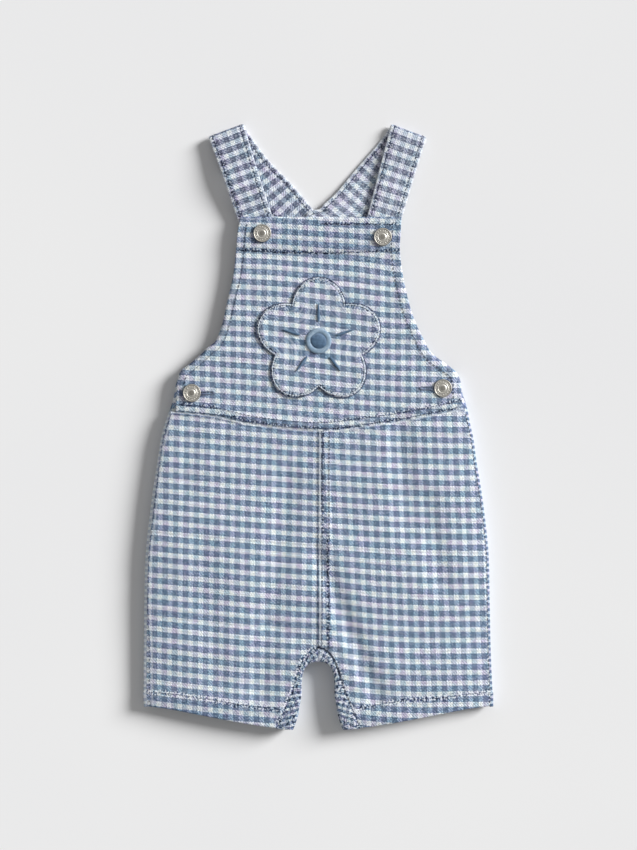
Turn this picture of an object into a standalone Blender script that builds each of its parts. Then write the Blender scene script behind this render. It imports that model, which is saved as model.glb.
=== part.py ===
"""Baby's gingham bib shorts, buttoned up and laid flat on their back.

Every table and size is in millimetres, and add_mesh() turns them into metres.
+X is to the viewer's right, +Y runs from the leg hems to the shoulder straps, and
+Z is up from the table that the garment lies on. Left and right are the viewer's.
"""
import math
from collections import namedtuple

import bmesh
import bpy
from mathutils import Vector

MM = 0.001

# Walls and clearances
CLOTH = 1.5             # one layer of soft cotton, with its seam allowance
STRAP_CLOTH = 2.0       # a strap is folded double
SEAM_GAP = 0.3          # between two pieces that are sewn together
LAY_GAP = 0.4           # between a piece and what it lies on
RAISED = 0.5            # extra height where a hem or seam is doubled
SEAM_Z = 4.5            # rims above this, and in from the edge, meet others and stand upright

# The lofted edge: how the cloth turns from the table over to the front
TOP_ROLL = 14.0         # distance in from the edge where the front reaches full height
UNDER_ROLL = 7.0        # distance in from the edge where the back leaves the table
SIDE_SEAM_IN = 2.3      # side seam, in from the outer edge
EDGE_STEP = 5.0         # spacing of the points that distances to an edge are taken from
PAST_HEM_Y = -260.0
EDGE_STEPS = (0.0, 0.4, 1.5, 3.8, UNDER_ROLL)

# Doubled strips
HEM_DEPTH = 12.0        # turned-up leg hem
BIB_HEM_Y = 136.5       # lower stitch line of the bib's top hem
FELL_WIDTH = 9.0        # felled centre-front seam, lapped to the right
WAIST_FELL = 7.0        # felled waist seam, lapped up on the bib

# Outer edge of what shows, straps apart, from the bib's top corners to the hems
SideRow = namedtuple("SideRow", "y left right")
SIDES = (
    SideRow(162.2, -60.0, 64.4),
    SideRow(150.5, -62.2, 63.8),
    SideRow(136.0, -63.4, 63.2),
    SideRow(117.0, -65.8, 65.6),
    SideRow(97.0, -70.5, 70.2),
    SideRow(81.0, -74.1, 75.4),
    SideRow(67.0, -79.0, 82.2),
    SideRow(60.8, -86.0, 85.3),
    SideRow(54.6, -92.5, 90.5),
    SideRow(48.4, -99.8, 99.2),
    SideRow(42.1, -107.0, 107.2),
    SideRow(33.5, -110.4, 110.6),
    SideRow(25.3, -111.9, 112.2),
    SideRow(17.2, -113.9, 115.0),
    SideRow(1.6, -119.3, 118.2),
    SideRow(-10.9, -122.5, 120.9),
    SideRow(-26.5, -124.8, 122.9),
    SideRow(-51.5, -128.7, 127.1),
    SideRow(-76.4, -131.8, 130.3),
    SideRow(-101.4, -134.2, 132.6),
    SideRow(-138.8, -135.2, 133.4),
    SideRow(-174.7, -135.7, 134.2),
    SideRow(-207.5, -135.7, 135.5),
    SideRow(-218.0, -135.0, 135.7),
)

# Height of the front above the table, at its outer edge and past the roll
HeightRow = namedtuple("HeightRow", "y edge middle")
HEIGHTS = (
    HeightRow(165.0, 8.5, 8.5),
    HeightRow(120.0, 8.3, 8.7),
    HeightRow(90.0, 7.2, 9.2),
    HeightRow(60.0, 6.4, 9.8),
    HeightRow(40.0, 6.2, 10.4),
    HeightRow(28.0, 5.2, 10.9),
    HeightRow(12.0, 4.3, 11.4),
    HeightRow(-10.0, 4.0, 12.0),
    HeightRow(-60.0, 4.0, 13.0),
    HeightRow(-130.0, 4.0, 13.0),
    HeightRow(-180.0, 4.0, 12.0),
    HeightRow(-236.0, 3.8, 10.5),
)

# Waist seam across the front and the back, and the leg hems by distance from the middle
CurveRow = namedtuple("CurveRow", "x y")
WAIST = (
    CurveRow(-116.0, 11.0),
    CurveRow(-78.0, 7.0),
    CurveRow(-50.0, 0.8),
    CurveRow(0.0, -3.9),
    CurveRow(40.0, 0.0),
    CurveRow(66.0, 3.9),
    CurveRow(84.0, 7.3),
    CurveRow(116.0, 13.9),
)
BACK_WAIST = (
    CurveRow(-107.0, 10.9),
    CurveRow(107.0, 13.6),
)
HEM = (
    CurveRow(19.6, -235.6),
    CurveRow(50.0, -232.8),
    CurveRow(88.0, -226.2),
    CurveRow(115.0, -220.6),
    CurveRow(136.0, -217.2),
)

# The arch between the legs: edge of the gap, and the seam where the front cloth ends.
# The back's cloth rolls up over the edge and shows between the two.
ArchRow = namedtuple("ArchRow", "edge_x edge_y seam_x seam_y")
ARCH = (
    ArchRow(0.0, -183.0, 0.0, -172.0),
    ArchRow(6.5, -184.5, 6.5, -174.5),
    ArchRow(10.8, -189.5, 12.0, -181.5),
    ArchRow(12.6, -198.0, 16.5, -193.0),
    ArchRow(12.8, -208.0, 20.3, -205.5),
    ArchRow(14.6, -219.5, 25.5, -218.0),
    ArchRow(17.2, -229.0, 30.0, -228.6),
    ArchRow(19.6, -235.6, 32.5, -234.8),
)

TORSO_ROWS = 15         # rows of the legs' meshes from the waist seam to the crotch

# Side edges of the bib's flaps below the armholes, inside the outer edge of the back
FLAP_TOP_Y = 38.0
FLAP_LEFT_X = -109.3
FLAP_RIGHT_X = 110.9

# Back waistband: its top edge on the table, and how far it reaches under the flaps
BAND_TOP_Y = 39.0
BAND_REACH_X = 76.0
BAND_EDGE_Z = 3.2
BAND_ROLL = 8.0
FLAP_GAP = 0.8          # under a flap, whose facets dip between their corners

# The front falls away gently towards both sides
CROWN_HALF = 130.0
CROWN_DROP = 2.6        # at CROWN_HALF from the middle

# Soft creases: a trough (or a ridge, if depth is positive) along a line
Crease = namedtuple("Crease", "x0 y0 x1 y1 width depth")
CREASES = (
    Crease(-109.0, -3.0, -114.0, -62.0, 6.0, 0.9),
    Crease(-96.0, -1.5, -100.0, -48.0, 8.0, -1.3),
    Crease(-14.0, -42.0, -36.0, -208.0, 12.0, -1.3),
    Crease(-82.0, -89.0, -70.0, -198.0, 12.0, -0.8),
    Crease(7.0, -99.0, 51.0, -208.0, 8.0, -1.8),
    Crease(14.0, -158.0, 38.0, -208.0, 6.0, 0.7),
    Crease(73.0, -3.0, 80.5, -77.0, 10.0, -1.2),
    Crease(93.5, -58.0, 104.5, -120.0, 9.0, -1.3),
    Crease(19.5, -65.0, 51.0, -93.0, 8.0, -0.6),
    Crease(84.0, -168.0, 122.0, -150.0, 20.0, -0.8),
)

# Buttons: the cap's middle, and the way in which its buttonhole runs
Button = namedtuple("Button", "name x y hole_dx hole_dy")
BUTTONS = (
    Button("button_bib_left", -43.3, 149.8, 0.0, -3.0),
    Button("button_bib_right", 50.3, 147.0, 0.0, -3.0),
    Button("button_side_left", -98.0, 25.7, 17.0, 0.0),
    Button("button_side_right", 97.0, 29.4, -17.0, 0.0),
)
CAP_RADIUS = 7.0
CAP_HEIGHT = 2.8
SHANK_RADIUS = 1.6
BUTTON_SIDES = 22

# Shoulder straps: middle line and half-width vector, from the buttoned end, over the
# fold at the shoulder, to the end that is sewn inside the back waistband. The height
# is the outer face's: the upper one in front, and the one on the table behind.
StrapRow = namedtuple("StrapRow", "x y half_x half_y z")
STRAP_TOP_AT_BIB = 8.5 - CLOTH - LAY_GAP
LEFT_FRONT = (
    StrapRow(-39.6, 135.0, 12.0, 4.2, STRAP_TOP_AT_BIB),
    StrapRow(-49.6, 163.5, 12.0, 4.2, STRAP_TOP_AT_BIB),
    StrapRow(-61.0, 198.0, 12.2, 4.4, 5.6),
    StrapRow(-70.9, 227.8, 13.1, 4.9, 5.0),
)
LEFT_BACK = (
    StrapRow(-70.0, 226.6, 13.1, 4.9, 0.0),
    StrapRow(-52.7, 202.0, 12.0, 7.0, 0.0),
    StrapRow(-32.5, 179.4, 11.4, 9.0, 0.0),
    StrapRow(-15.6, 161.9, 9.5, 8.8, 0.0),
    StrapRow(24.6, 112.7, 9.8, 8.1, 0.0),
    StrapRow(54.0, 77.0, 9.8, 8.1, 0.0),
    StrapRow(70.0, 57.6, 9.8, 8.1, 2.1),
    StrapRow(94.0, 28.4, 9.8, 8.1, 2.1),
)
RIGHT_FRONT = (
    StrapRow(43.6, 133.0, 12.2, -3.5, STRAP_TOP_AT_BIB),
    StrapRow(51.7, 162.2, 12.2, -3.5, STRAP_TOP_AT_BIB),
    StrapRow(61.0, 196.0, 12.6, -4.1, 5.6),
    StrapRow(70.1, 227.8, 13.1, -4.9, 5.0),
)
RIGHT_BACK = (
    StrapRow(69.0, 226.4, 13.1, -4.9, 0.0),
    StrapRow(55.8, 210.4, 10.2, -7.6, 0.0),
    StrapRow(40.8, 191.6, 10.6, -8.9, 0.0),
    StrapRow(27.0, 173.1, 11.6, -9.4, 1.4),
    StrapRow(17.2, 164.0, 11.7, -9.0, 2.5),
    StrapRow(12.7, 159.7, 11.2, -9.1, 2.5),
    StrapRow(7.1, 156.0, 11.4, -11.5, 2.5),
    StrapRow(2.7, 152.3, 11.3, -12.3, 2.5),
    StrapRow(-2.2, 146.1, 10.3, -8.8, 2.5),
    StrapRow(-14.6, 128.7, 10.1, -7.7, 2.5),
    StrapRow(-24.0, 116.5, 10.1, -7.7, 1.0),
    StrapRow(-34.0, 103.5, 10.1, -7.7, 0.0),
    StrapRow(-53.0, 78.8, 10.1, -7.7, 0.0),
    StrapRow(-68.5, 58.6, 10.1, -7.7, 2.1),
    StrapRow(-91.7, 28.4, 10.1, -7.7, 2.1),
)
STRAP_STEP = 9.0        # distance between rows of the strap's mesh
FOLD_STEPS = 6          # rows round the shoulder fold
FOLD_REACH = 3.85       # how far the fold stands past the last rows

# Flower patch on the bib: round petals about a middle
PATCH_X = 0.4
PATCH_Y = 66.0
PETALS = 5
PETAL_VALLEY = 36.0
PETAL_REACH = 14.0
PATCH_CLOTH = 1.0
PATCH_SIDES = 60
PATCH_RINGS = (0.2, 0.6, 1.0)
MOTIF_RADIUS = 10.0     # raised satin-stitch disc in the flower's middle
MOTIF_HEIGHT = 1.1


def read_curve(rows, key, column, at):
    """Smooth reading of one column of a table at a value of its key column."""
    points = sorted((getattr(row, key), getattr(row, column)) for row in rows)
    at = min(max(at, points[0][0]), points[-1][0])
    k = next(i for i in range(1, len(points)) if at <= points[i][0])
    slopes = []
    for i in (k - 1, k):
        before = points[max(i - 1, 0)]
        after = points[min(i + 1, len(points) - 1)]
        slopes.append((after[1] - before[1]) / (after[0] - before[0]))
    span = points[k][0] - points[k - 1][0]
    t = (at - points[k - 1][0]) / span
    return (points[k - 1][1] * (1 + 2 * t) * (1 - t) ** 2 + slopes[0] * span * t * (1 - t) ** 2
            + points[k][1] * t * t * (3 - 2 * t) + slopes[1] * span * t * t * (t - 1))


def waist_y(x):
    return read_curve(WAIST, "x", "y", x)


def back_waist_y(x):
    return read_curve(BACK_WAIST, "x", "y", x)


def hem_y(x):
    return read_curve(HEM, "x", "y", abs(x))


def side_x(side, y):
    return read_curve(SIDES, "y", "left" if side < 0 else "right", y)


def segment_distance(x, y, start, end):
    """Distance in plan from a point to the straight line between two others."""
    dx = end[0] - start[0]
    dy = end[1] - start[1]
    along = ((x - start[0]) * dx + (y - start[1]) * dy) / (dx * dx + dy * dy)
    along = min(max(along, 0.0), 1.0)
    return math.hypot(x - start[0] - along * dx, y - start[1] - along * dy)


def line_distance(x, y, line):
    return min(segment_distance(x, y, a, b) for a, b in zip(line, line[1:]))


def side_line(side):
    """Outer edge on one side, carried on past the hem so that the hem isn't rolled."""
    top = SIDES[0].y
    steps = round((top - SIDES[-1].y) / EDGE_STEP)
    ys = [top + (SIDES[-1].y - top) * k / steps for k in range(steps + 1)]
    return [(side_x(side, y), y) for y in ys] + [(side_x(side, SIDES[-1].y), PAST_HEM_Y)]


def arch_line(side):
    line = [(side * row.edge_x, row.edge_y) for row in ARCH]
    return line + [(side * ARCH[-1].edge_x, PAST_HEM_Y)]


FREE_EDGES = (side_line(-1), side_line(1), arch_line(-1), arch_line(1))


def edge_distance(x, y):
    return min(line_distance(x, y, line) for line in FREE_EDGES)


def roll(share):
    """Quarter of an ellipse: 0 at the edge, 1 past the roll."""
    share = min(max(share, 0.0), 1.0)
    return math.sqrt(1.0 - (1.0 - share) ** 2)


def front_z(x, y):
    """Height of the front's outer face: rolled at the free edges, with soft creases."""
    edge = read_curve(HEIGHTS, "y", "edge", y)
    middle = read_curve(HEIGHTS, "y", "middle", y)
    rise = roll(edge_distance(x, y) / TOP_ROLL)
    crease = sum(
        c.depth * math.exp(-(segment_distance(x, y, c[0:2], c[2:4]) / c.width) ** 2)
        for c in CREASES)
    slope = CROWN_DROP * (abs(x) / CROWN_HALF) ** 3
    return edge + (middle - edge + crease - slope) * rise


def under_z(inward, edge):
    """Height of the back's outer face, from the table up to the outer edge."""
    return edge * (1.0 - roll(inward / UNDER_ROLL))


def resample(line, shares):
    """Points at the given shares of a line's length."""
    lengths = [0.0]
    for a, b in zip(line, line[1:]):
        lengths.append(lengths[-1] + math.dist(a, b))
    points = []
    for share in shares:
        target = share * lengths[-1]
        k = next((i for i in range(1, len(line)) if lengths[i] >= target - 1e-9), len(line) - 1)
        part = (target - lengths[k - 1]) / (lengths[k] - lengths[k - 1])
        points.append(tuple(p + (q - p) * part for p, q in zip(line[k - 1], line[k])))
    return points


def length_shares(line):
    """Share of a line's length at each of its points."""
    steps = [math.dist(a, b) for a, b in zip(line, line[1:])]
    total = sum(steps)
    return [sum(steps[:k]) / total for k in range(len(line))]


def coons(top, bottom, left, right, across, down):
    """Plan grid inside four boundary lines, a row for each share down."""
    grid = []
    for i, v in enumerate(down):
        row = []
        for j, u in enumerate(across):
            row.append(tuple(
                (1 - v) * top[j][k] + v * bottom[j][k] + (1 - u) * left[i][k] + u * right[i][k]
                - (1 - u) * (1 - v) * top[0][k] - u * (1 - v) * top[-1][k]
                - (1 - u) * v * bottom[0][k] - u * v * bottom[-1][k]
                for k in (0, 1)))
        grid.append(row)
    return grid


def lift(plan, height):
    """Give a plan grid its heights."""
    return [[(x, y, height(x, y)) for x, y in row] for row in plan]


def material(name, colour, roughness, metallic=0.0):
    mat = bpy.data.materials.new(name)
    mat.use_nodes = True
    shader = mat.node_tree.nodes["Principled BSDF"]
    shader.inputs["Base Color"].default_value = (*colour, 1.0)
    shader.inputs["Roughness"].default_value = roughness
    shader.inputs["Metallic"].default_value = metallic
    mat.diffuse_color = (*colour, 1.0)
    return mat


def add_mesh(name, mesh_data, mat, smooth=False):
    """Link a bmesh in millimetres as an object in metres."""
    bmesh.ops.scale(mesh_data, vec=(MM, MM, MM), verts=mesh_data.verts)
    mesh = bpy.data.meshes.new(name)
    mesh_data.to_mesh(mesh)
    mesh_data.free()
    if smooth:
        mesh.shade_smooth()
        mesh.set_sharp_from_angle(angle=math.radians(35))
    mesh.materials.append(mat)
    obj = bpy.data.objects.new(name, mesh)
    bpy.context.scene.collection.objects.link(obj)
    return obj


def add_grid(surface, grid, flip):
    """Add a grid of points to an open surface; unflipped, +Y to -Y rows face up."""
    verts = [[surface.verts.new(point) for point in row] for row in grid]
    for i in range(len(grid) - 1):
        for j in range(len(grid[0]) - 1):
            corners = [verts[i][j], verts[i + 1][j], verts[i + 1][j + 1], verts[i][j + 1]]
            surface.faces.new(reversed(corners) if flip else corners)


def cloth_wall(name, grids, thickness, mat, flip=False, raised=None):
    """Close one or more joined grids, the cloth's outer face, into a wall."""
    surface = bmesh.new()
    for grid in grids:
        add_grid(surface, grid, flip)
    bmesh.ops.remove_doubles(surface, verts=surface.verts, dist=0.01)
    surface.normal_update()
    outer_faces = list(surface.faces)
    rims = [edge.link_loops[0] for edge in surface.edges if edge.is_boundary]
    rims = [(loop.vert, loop.link_loop_next.vert) for loop in rims]
    rim_verts = {vert for pair in rims for vert in pair}
    outer = list(surface.verts)
    inner = {}
    for vert in outer:
        inward = vert.normal.copy()
        if vert in rim_verts and vert.co.z > SEAM_Z:
            if edge_distance(vert.co.x, vert.co.y) > SIDE_SEAM_IN - SEAM_GAP:
                inward = Vector((0.0, 0.0, 1.0))
        inner[vert] = surface.verts.new(vert.co - inward * thickness)
    for face in outer_faces:
        surface.faces.new([inner[vert] for vert in reversed(face.verts)])
    for start, end in rims:
        surface.faces.new([end, start, inner[start], inner[end]])
    if raised:
        for vert in outer:
            vert.co.z += raised(vert.co.x, vert.co.y)
    return add_mesh(name, surface, mat)


def shares(*stops):
    """Evenly split shares between (stop, number of steps) pairs."""
    values = [0.0]
    for stop, steps in stops:
        start = values[-1]
        values += [start + (stop - start) * k / steps for k in range(1, steps + 1)]
    return values


def arch_point(side, row, inward):
    """Point on a station of the arch, a distance in from the gap's edge."""
    reach = math.hypot(row.seam_x - row.edge_x, row.seam_y - row.edge_y)
    part = inward / reach
    x = row.edge_x + (row.seam_x - row.edge_x) * part
    y = row.edge_y + (row.seam_y - row.edge_y) * part
    return (side * max(x, SEAM_GAP / 2), y)


def front_raised(x, y):
    """Doubled cloth: the hem, the felled centre seam and nothing else."""
    if y < hem_y(x) + HEM_DEPTH:
        return RAISED
    if 0.0 < x < FELL_WIDTH and y > ARCH[0].seam_y:
        return RAISED
    return 0.0


def leg_shares():
    """Rows down a leg: evenly to the crotch, then one for each station of the arch."""
    centre = resample([(0.0, waist_y(0)), (0.0, ARCH[0].seam_y)], shares((1.0, TORSO_ROWS)))
    return length_shares(centre + [(row.seam_x, row.seam_y) for row in ARCH[1:]])


def outer_rows(side):
    """Height up the page of each row where it meets the garment's outer edge."""
    start = back_waist_y(side * 115.0)
    end = hem_y(136.0)
    return [start + v * (end - start) for v in leg_shares()]


def make_front_leg(name, side, mat):
    """Front of one leg, from the waist seam to the hem."""
    half = SEAM_GAP / 2
    down = leg_shares()
    near = FELL_WIDTH / 118.0
    across = shares((near * 0.98, 1), (near * 1.06, 1), (0.42, 4), (0.86, 6), (0.93, 2), (1.0, 4))
    inner = resample([(side * half, waist_y(0)), (side * half, ARCH[0].seam_y + half)],
                     shares((1.0, TORSO_ROWS)))
    for row in ARCH[1:]:
        reach = math.hypot(row.seam_x - row.edge_x, row.seam_y - row.edge_y)
        inner.append(arch_point(side, row, reach + half))
    outer = [(side_x(side, y) - side * (SIDE_SEAM_IN + half), y) for y in outer_rows(side)]
    top = []
    bottom = []
    for u in across:
        x = inner[0][0] + u * (outer[0][0] - inner[0][0])
        top.append((x, waist_y(x)))
        x = inner[-1][0] + u * (outer[-1][0] - inner[-1][0])
        bottom.append((x, hem_y(x)))
    inner[-1] = bottom[0]
    outer[0] = top[-1]
    outer[-1] = bottom[-1]
    plan = coons(top, bottom, inner, outer, across, down)
    plan[0] = [(x, y - half) for x, y in plan[0]]
    return cloth_wall(name, [lift(plan, front_z)], CLOTH, mat, flip=side < 0, raised=front_raised)


def make_back_leg(name, side, mat):
    """Back of one leg: flat on the table, rolled up at the side and round the gap."""
    half = SEAM_GAP / 2
    contact = [arch_point(side, row, UNDER_ROLL) for row in ARCH]
    inner = resample([(side * half, back_waist_y(0)), contact[0]], shares((1.0, TORSO_ROWS)))
    inner += contact[1:]
    down = leg_shares()
    ys = outer_rows(side)
    outer = [(side_x(side, y) - side * UNDER_ROLL, y) for y in ys]
    across = shares((1.0, 6))
    top = []
    bottom = []
    for u in across:
        x = outer[0][0] + u * (inner[0][0] - outer[0][0])
        top.append((x, back_waist_y(x)))
        x = outer[-1][0] + u * (inner[-1][0] - outer[-1][0])
        bottom.append((x, hem_y(x)))
    bottom[-1] = inner[-1]
    plan = coons(top, bottom, outer, inner, across, down)
    plan[0] = [(x, y - half) for x, y in plan[0]]
    ys[0] = plan[0][0][1]
    flat = lift(plan, lambda x, y: 0.0)
    rolled = []
    for y, start in zip(ys, flat):
        edge = read_curve(HEIGHTS, "y", "edge", y)
        seam = side_x(side, y) - side * (SIDE_SEAM_IN - half)
        row = [(seam, y, front_z(seam, y))]
        for inward in (1.0, 0.3):
            x = side_x(side, y) - side * inward
            row.append((x, y, front_z(x, y)))
        for inward in EDGE_STEPS[:-1]:
            row.append((side_x(side, y) - side * inward, y, under_z(inward, edge)))
        row.append(start[0])
        rolled.append(row)
    band = []
    for k, row in enumerate(ARCH):
        edge = read_curve(HEIGHTS, "y", "edge", row.edge_y)
        reach = math.hypot(row.seam_x - row.edge_x, row.seam_y - row.edge_y) - half
        line = [flat[TORSO_ROWS + k][-1]]
        for inward in EDGE_STEPS[-2::-1]:
            x, y = arch_point(side, row, inward)
            line.append((x, y, under_z(inward, edge)))
        for inward in (0.3, 1.2, 0.35 * reach, 0.65 * reach, reach):
            x, y = arch_point(side, row, inward)
            line.append((x, y, front_z(x, y)))
        band.append(line)
    return cloth_wall(name, [flat, rolled, band], CLOTH, mat, flip=side < 0)


def bib_raised(x, y):
    """Doubled cloth: the bib's top hem and the felled waist seam."""
    if y > BIB_HEM_Y or y < waist_y(x) + WAIST_FELL:
        return RAISED
    return 0.0


def make_bib(mat):
    """The bib with the two flaps that button at the sides."""
    half = SEAM_GAP / 2
    left_end = (FLAP_LEFT_X - 0.8, waist_y(FLAP_LEFT_X) + half)
    right_end = (FLAP_RIGHT_X + 1.2, waist_y(FLAP_RIGHT_X) + half)
    left = [(row.left, row.y) for row in SIDES if row.y > FLAP_TOP_Y]
    right = [(row.right, row.y) for row in SIDES if row.y > FLAP_TOP_Y]
    left += [(FLAP_LEFT_X, FLAP_TOP_Y - 4.0), left_end]
    right += [(FLAP_RIGHT_X, FLAP_TOP_Y - 4.0), right_end]
    hem_share = (SIDES[0].y - BIB_HEM_Y) / 175.0
    fell_share = 1.0 - WAIST_FELL / 175.0
    down = shares((hem_share * 0.97, 2), (hem_share * 1.03, 1), (0.62, 6), (fell_share - 0.004, 6),
                  (fell_share + 0.004, 1), (1.0, 1))
    across = shares((0.035, 2), (0.09, 2), (0.91, 14), (0.965, 2), (1.0, 2))
    left = resample(left, down)
    right = resample(right, down)
    top = [(left[0][0] + u * (right[0][0] - left[0][0]), left[0][1]) for u in across]
    bottom = []
    for u in across:
        x = left[-1][0] + u * (right[-1][0] - left[-1][0])
        bottom.append((x, waist_y(x) + half))
    plan = coons(top, bottom, left, right, across, down)
    return cloth_wall("bib", [lift(plan, front_z)], CLOTH, mat, raised=bib_raised)


def cut_buttonhole(panel, button):
    """Cut the slit that the button's shank passes through."""
    clear = SHANK_RADIUS + SEAM_GAP
    x0, x1 = sorted((button.x, button.x + button.hole_dx))
    y0, y1 = sorted((button.y, button.y + button.hole_dy))
    size = (x1 - x0 + 2 * clear, y1 - y0 + 2 * clear, 12.0)
    middle = Vector(((x0 + x1) / 2, (y0 + y1) / 2, front_z(button.x, button.y)))
    slit = bmesh.new()
    bmesh.ops.create_cube(slit, size=1.0)
    bmesh.ops.scale(slit, vec=size, verts=slit.verts)
    bmesh.ops.translate(slit, vec=middle, verts=slit.verts)
    cutter = add_mesh("cut_" + button.name, slit, panel.data.materials[0])
    cutter.hide_render = True
    cutter.display_type = "WIRE"
    cut = panel.modifiers.new("buttonhole", "BOOLEAN")
    cut.operation = "DIFFERENCE"
    cut.solver = "EXACT"
    cut.object = cutter


def band_z(x, y, inward):
    """Top face of the waistband where it lies under a flap, or shows beside it."""
    under_flap = front_z(x, y) - CLOTH - FLAP_GAP
    return BAND_EDGE_Z + (under_flap - BAND_EDGE_Z) * roll(inward / BAND_ROLL)


def band_half_section(side, y):
    """Waistband in section on one side: under the flap, round the edge, to the table."""
    edge_x = side_x(side, y)
    points = []
    reach = abs(edge_x) - BAND_REACH_X
    for inward in (reach, reach * 0.75, reach * 0.5, 11.0, BAND_ROLL, 5.0, 2.6, 1.0, 0.3):
        x = edge_x - side * inward
        points.append((x, y, band_z(x, y, inward)))
    for inward in EDGE_STEPS:
        x = edge_x - side * inward
        points.append((x, y, under_z(inward, BAND_EDGE_Z)))
    return points


def make_back_waistband(mat):
    """Back waistband: it wraps round both sides and buttons under the flaps."""
    middle_x = shares((1.0, 8))
    grid = []
    for v in shares((1.0, 4)):
        sections = []
        for side in (-1, 1):
            low = back_waist_y(side * 115.0) + LAY_GAP
            y = BAND_TOP_Y + v * (low - BAND_TOP_Y)
            sections.append(band_half_section(side, y))
        left, right = sections
        start = left[-1]
        end = right[-1]
        across = []
        for u in middle_x[1:-1]:
            x = start[0] + u * (end[0] - start[0])
            y = (1 - v) * BAND_TOP_Y + v * (back_waist_y(x) + LAY_GAP)
            across.append((x, y, 0.0))
        grid.append(left + across + right[::-1])
    return cloth_wall("back_waistband", [grid], CLOTH, mat, flip=True)


def strap_rows(front, back):
    """Rows of the strap's outer face, with the rounded fold at the shoulder."""
    def even(rows):
        line = [tuple(row) for row in rows]
        steps = max(int(sum(math.dist(a[:2], b[:2]) for a, b in zip(line, line[1:])) / STRAP_STEP), 2)
        return resample(line, shares((1.0, steps)))
    front_rows = even(front)
    back_rows = even(back)
    last = front_rows[-1]
    first = back_rows[0]
    radius = last[4] / 2
    turn = []
    reach = math.hypot(last[2], last[3])
    out = (-last[3] / reach, last[2] / reach)
    for k in range(1, FOLD_STEPS):
        angle = math.pi * k / FOLD_STEPS
        share = k / FOLD_STEPS
        push = FOLD_REACH * math.sin(angle)
        x, y, half_x, half_y = (last[i] * (1 - share) + first[i] * share for i in range(4))
        turn.append((x + out[0] * push, y + out[1] * push, half_x, half_y,
                     radius + radius * math.cos(angle)))
    return front_rows + turn + back_rows


def make_strap(name, front, back, mat):
    """One strap: a doubled ribbon, folded over at the shoulder."""
    grid = []
    for x, y, half_x, half_y, z in strap_rows(front, back):
        grid.append([(x + half_x * k, y + half_y * k, z) for k in (-1.0, -0.8, 0.0, 0.8, 1.0)])
    return cloth_wall(name, [grid], STRAP_CLOTH, mat, flip=True)


def petal_radius(angle):
    return PETAL_VALLEY + PETAL_REACH * abs(math.cos(PETALS * (angle - math.pi / 2) / 2))


def bib_lift(x, y, above):
    """A point laid on the bib, above its outer face."""
    return (x, y, front_z(x, y) + above)


def make_patch(mat):
    """Flower patch: a plate with round petals that follows the bib's surface."""
    plate = bmesh.new()
    layers = []
    for above in (LAY_GAP + PATCH_CLOTH, LAY_GAP):
        rings = []
        for share in PATCH_RINGS:
            ring = []
            for k in range(PATCH_SIDES):
                angle = 2 * math.pi * k / PATCH_SIDES
                reach = petal_radius(angle) * share
                x = PATCH_X + reach * math.cos(angle)
                y = PATCH_Y + reach * math.sin(angle)
                ring.append(plate.verts.new(bib_lift(x, y, above)))
            rings.append(ring)
        middle = plate.verts.new(bib_lift(PATCH_X, PATCH_Y, above))
        layers.append((middle, rings))
    for layer, (middle, rings) in enumerate(layers):
        for k in range(PATCH_SIDES):
            n = (k + 1) % PATCH_SIDES
            faces = [[middle, rings[0][k], rings[0][n]]]
            for inner, outer in zip(rings, rings[1:]):
                faces.append([inner[k], outer[k], outer[n], inner[n]])
            for face in faces:
                plate.faces.new(face if layer == 0 else reversed(face))
    upper = layers[0][1][-1]
    lower = layers[1][1][-1]
    for k in range(PATCH_SIDES):
        n = (k + 1) % PATCH_SIDES
        plate.faces.new([upper[k], lower[k], lower[n], upper[n]])
    return add_mesh("bib_patch", plate, mat)


def turned_solid(profile, sides):
    """Solid of revolution about Z from (radius, height) pairs, bottom to top."""
    solid = bmesh.new()
    rings = []
    for radius, z in profile:
        rings.append([
            solid.verts.new((radius * math.cos(2 * math.pi * k / sides),
                             radius * math.sin(2 * math.pi * k / sides), z))
            for k in range(sides)])
    for lower, upper in zip(rings, rings[1:]):
        for k in range(sides):
            n = (k + 1) % sides
            solid.faces.new([lower[k], lower[n], upper[n], upper[k]])
    solid.faces.new(list(reversed(rings[0])))
    solid.faces.new(rings[-1])
    return solid


def make_motif(mat):
    """Raised satin-stitch disc in the middle of the flower."""
    radius = MOTIF_RADIUS
    profile = ((radius - 1.2, 0.0), (radius, 0.35), (radius - 0.6, 0.8), (radius * 0.7, MOTIF_HEIGHT))
    solid = turned_solid(profile, 30)
    base = front_z(PATCH_X, PATCH_Y) + LAY_GAP + PATCH_CLOTH + LAY_GAP
    bmesh.ops.translate(solid, vec=(PATCH_X, PATCH_Y, base), verts=solid.verts)
    return add_mesh("patch_centre", solid, mat, smooth=True)


def make_button(button, mat):
    """Tack button: a shank on the cloth below, and a rimmed cap over the buttonhole."""
    cap = front_z(button.x, button.y) + LAY_GAP
    if "bib" in button.name:
        foot = STRAP_TOP_AT_BIB + SEAM_GAP
        cap += RAISED
    else:
        foot = band_z(button.x, button.y, BAND_ROLL) + SEAM_GAP
    r = CAP_RADIUS
    profile = (
        (SHANK_RADIUS, foot), (SHANK_RADIUS, cap), (r - 1.2, cap), (r - 0.3, cap + 0.4),
        (r, cap + 1.1), (r - 0.3, cap + 1.9), (r - 0.9, cap + 2.2), (r - 1.5, cap + 1.8),
        (r * 0.5, cap + CAP_HEIGHT - 0.5), (r * 0.2, cap + CAP_HEIGHT - 0.3))
    solid = turned_solid(profile, BUTTON_SIDES)
    bmesh.ops.translate(solid, vec=(button.x, button.y, 0.0), verts=solid.verts)
    return add_mesh(button.name, solid, mat, smooth=True)


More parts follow.
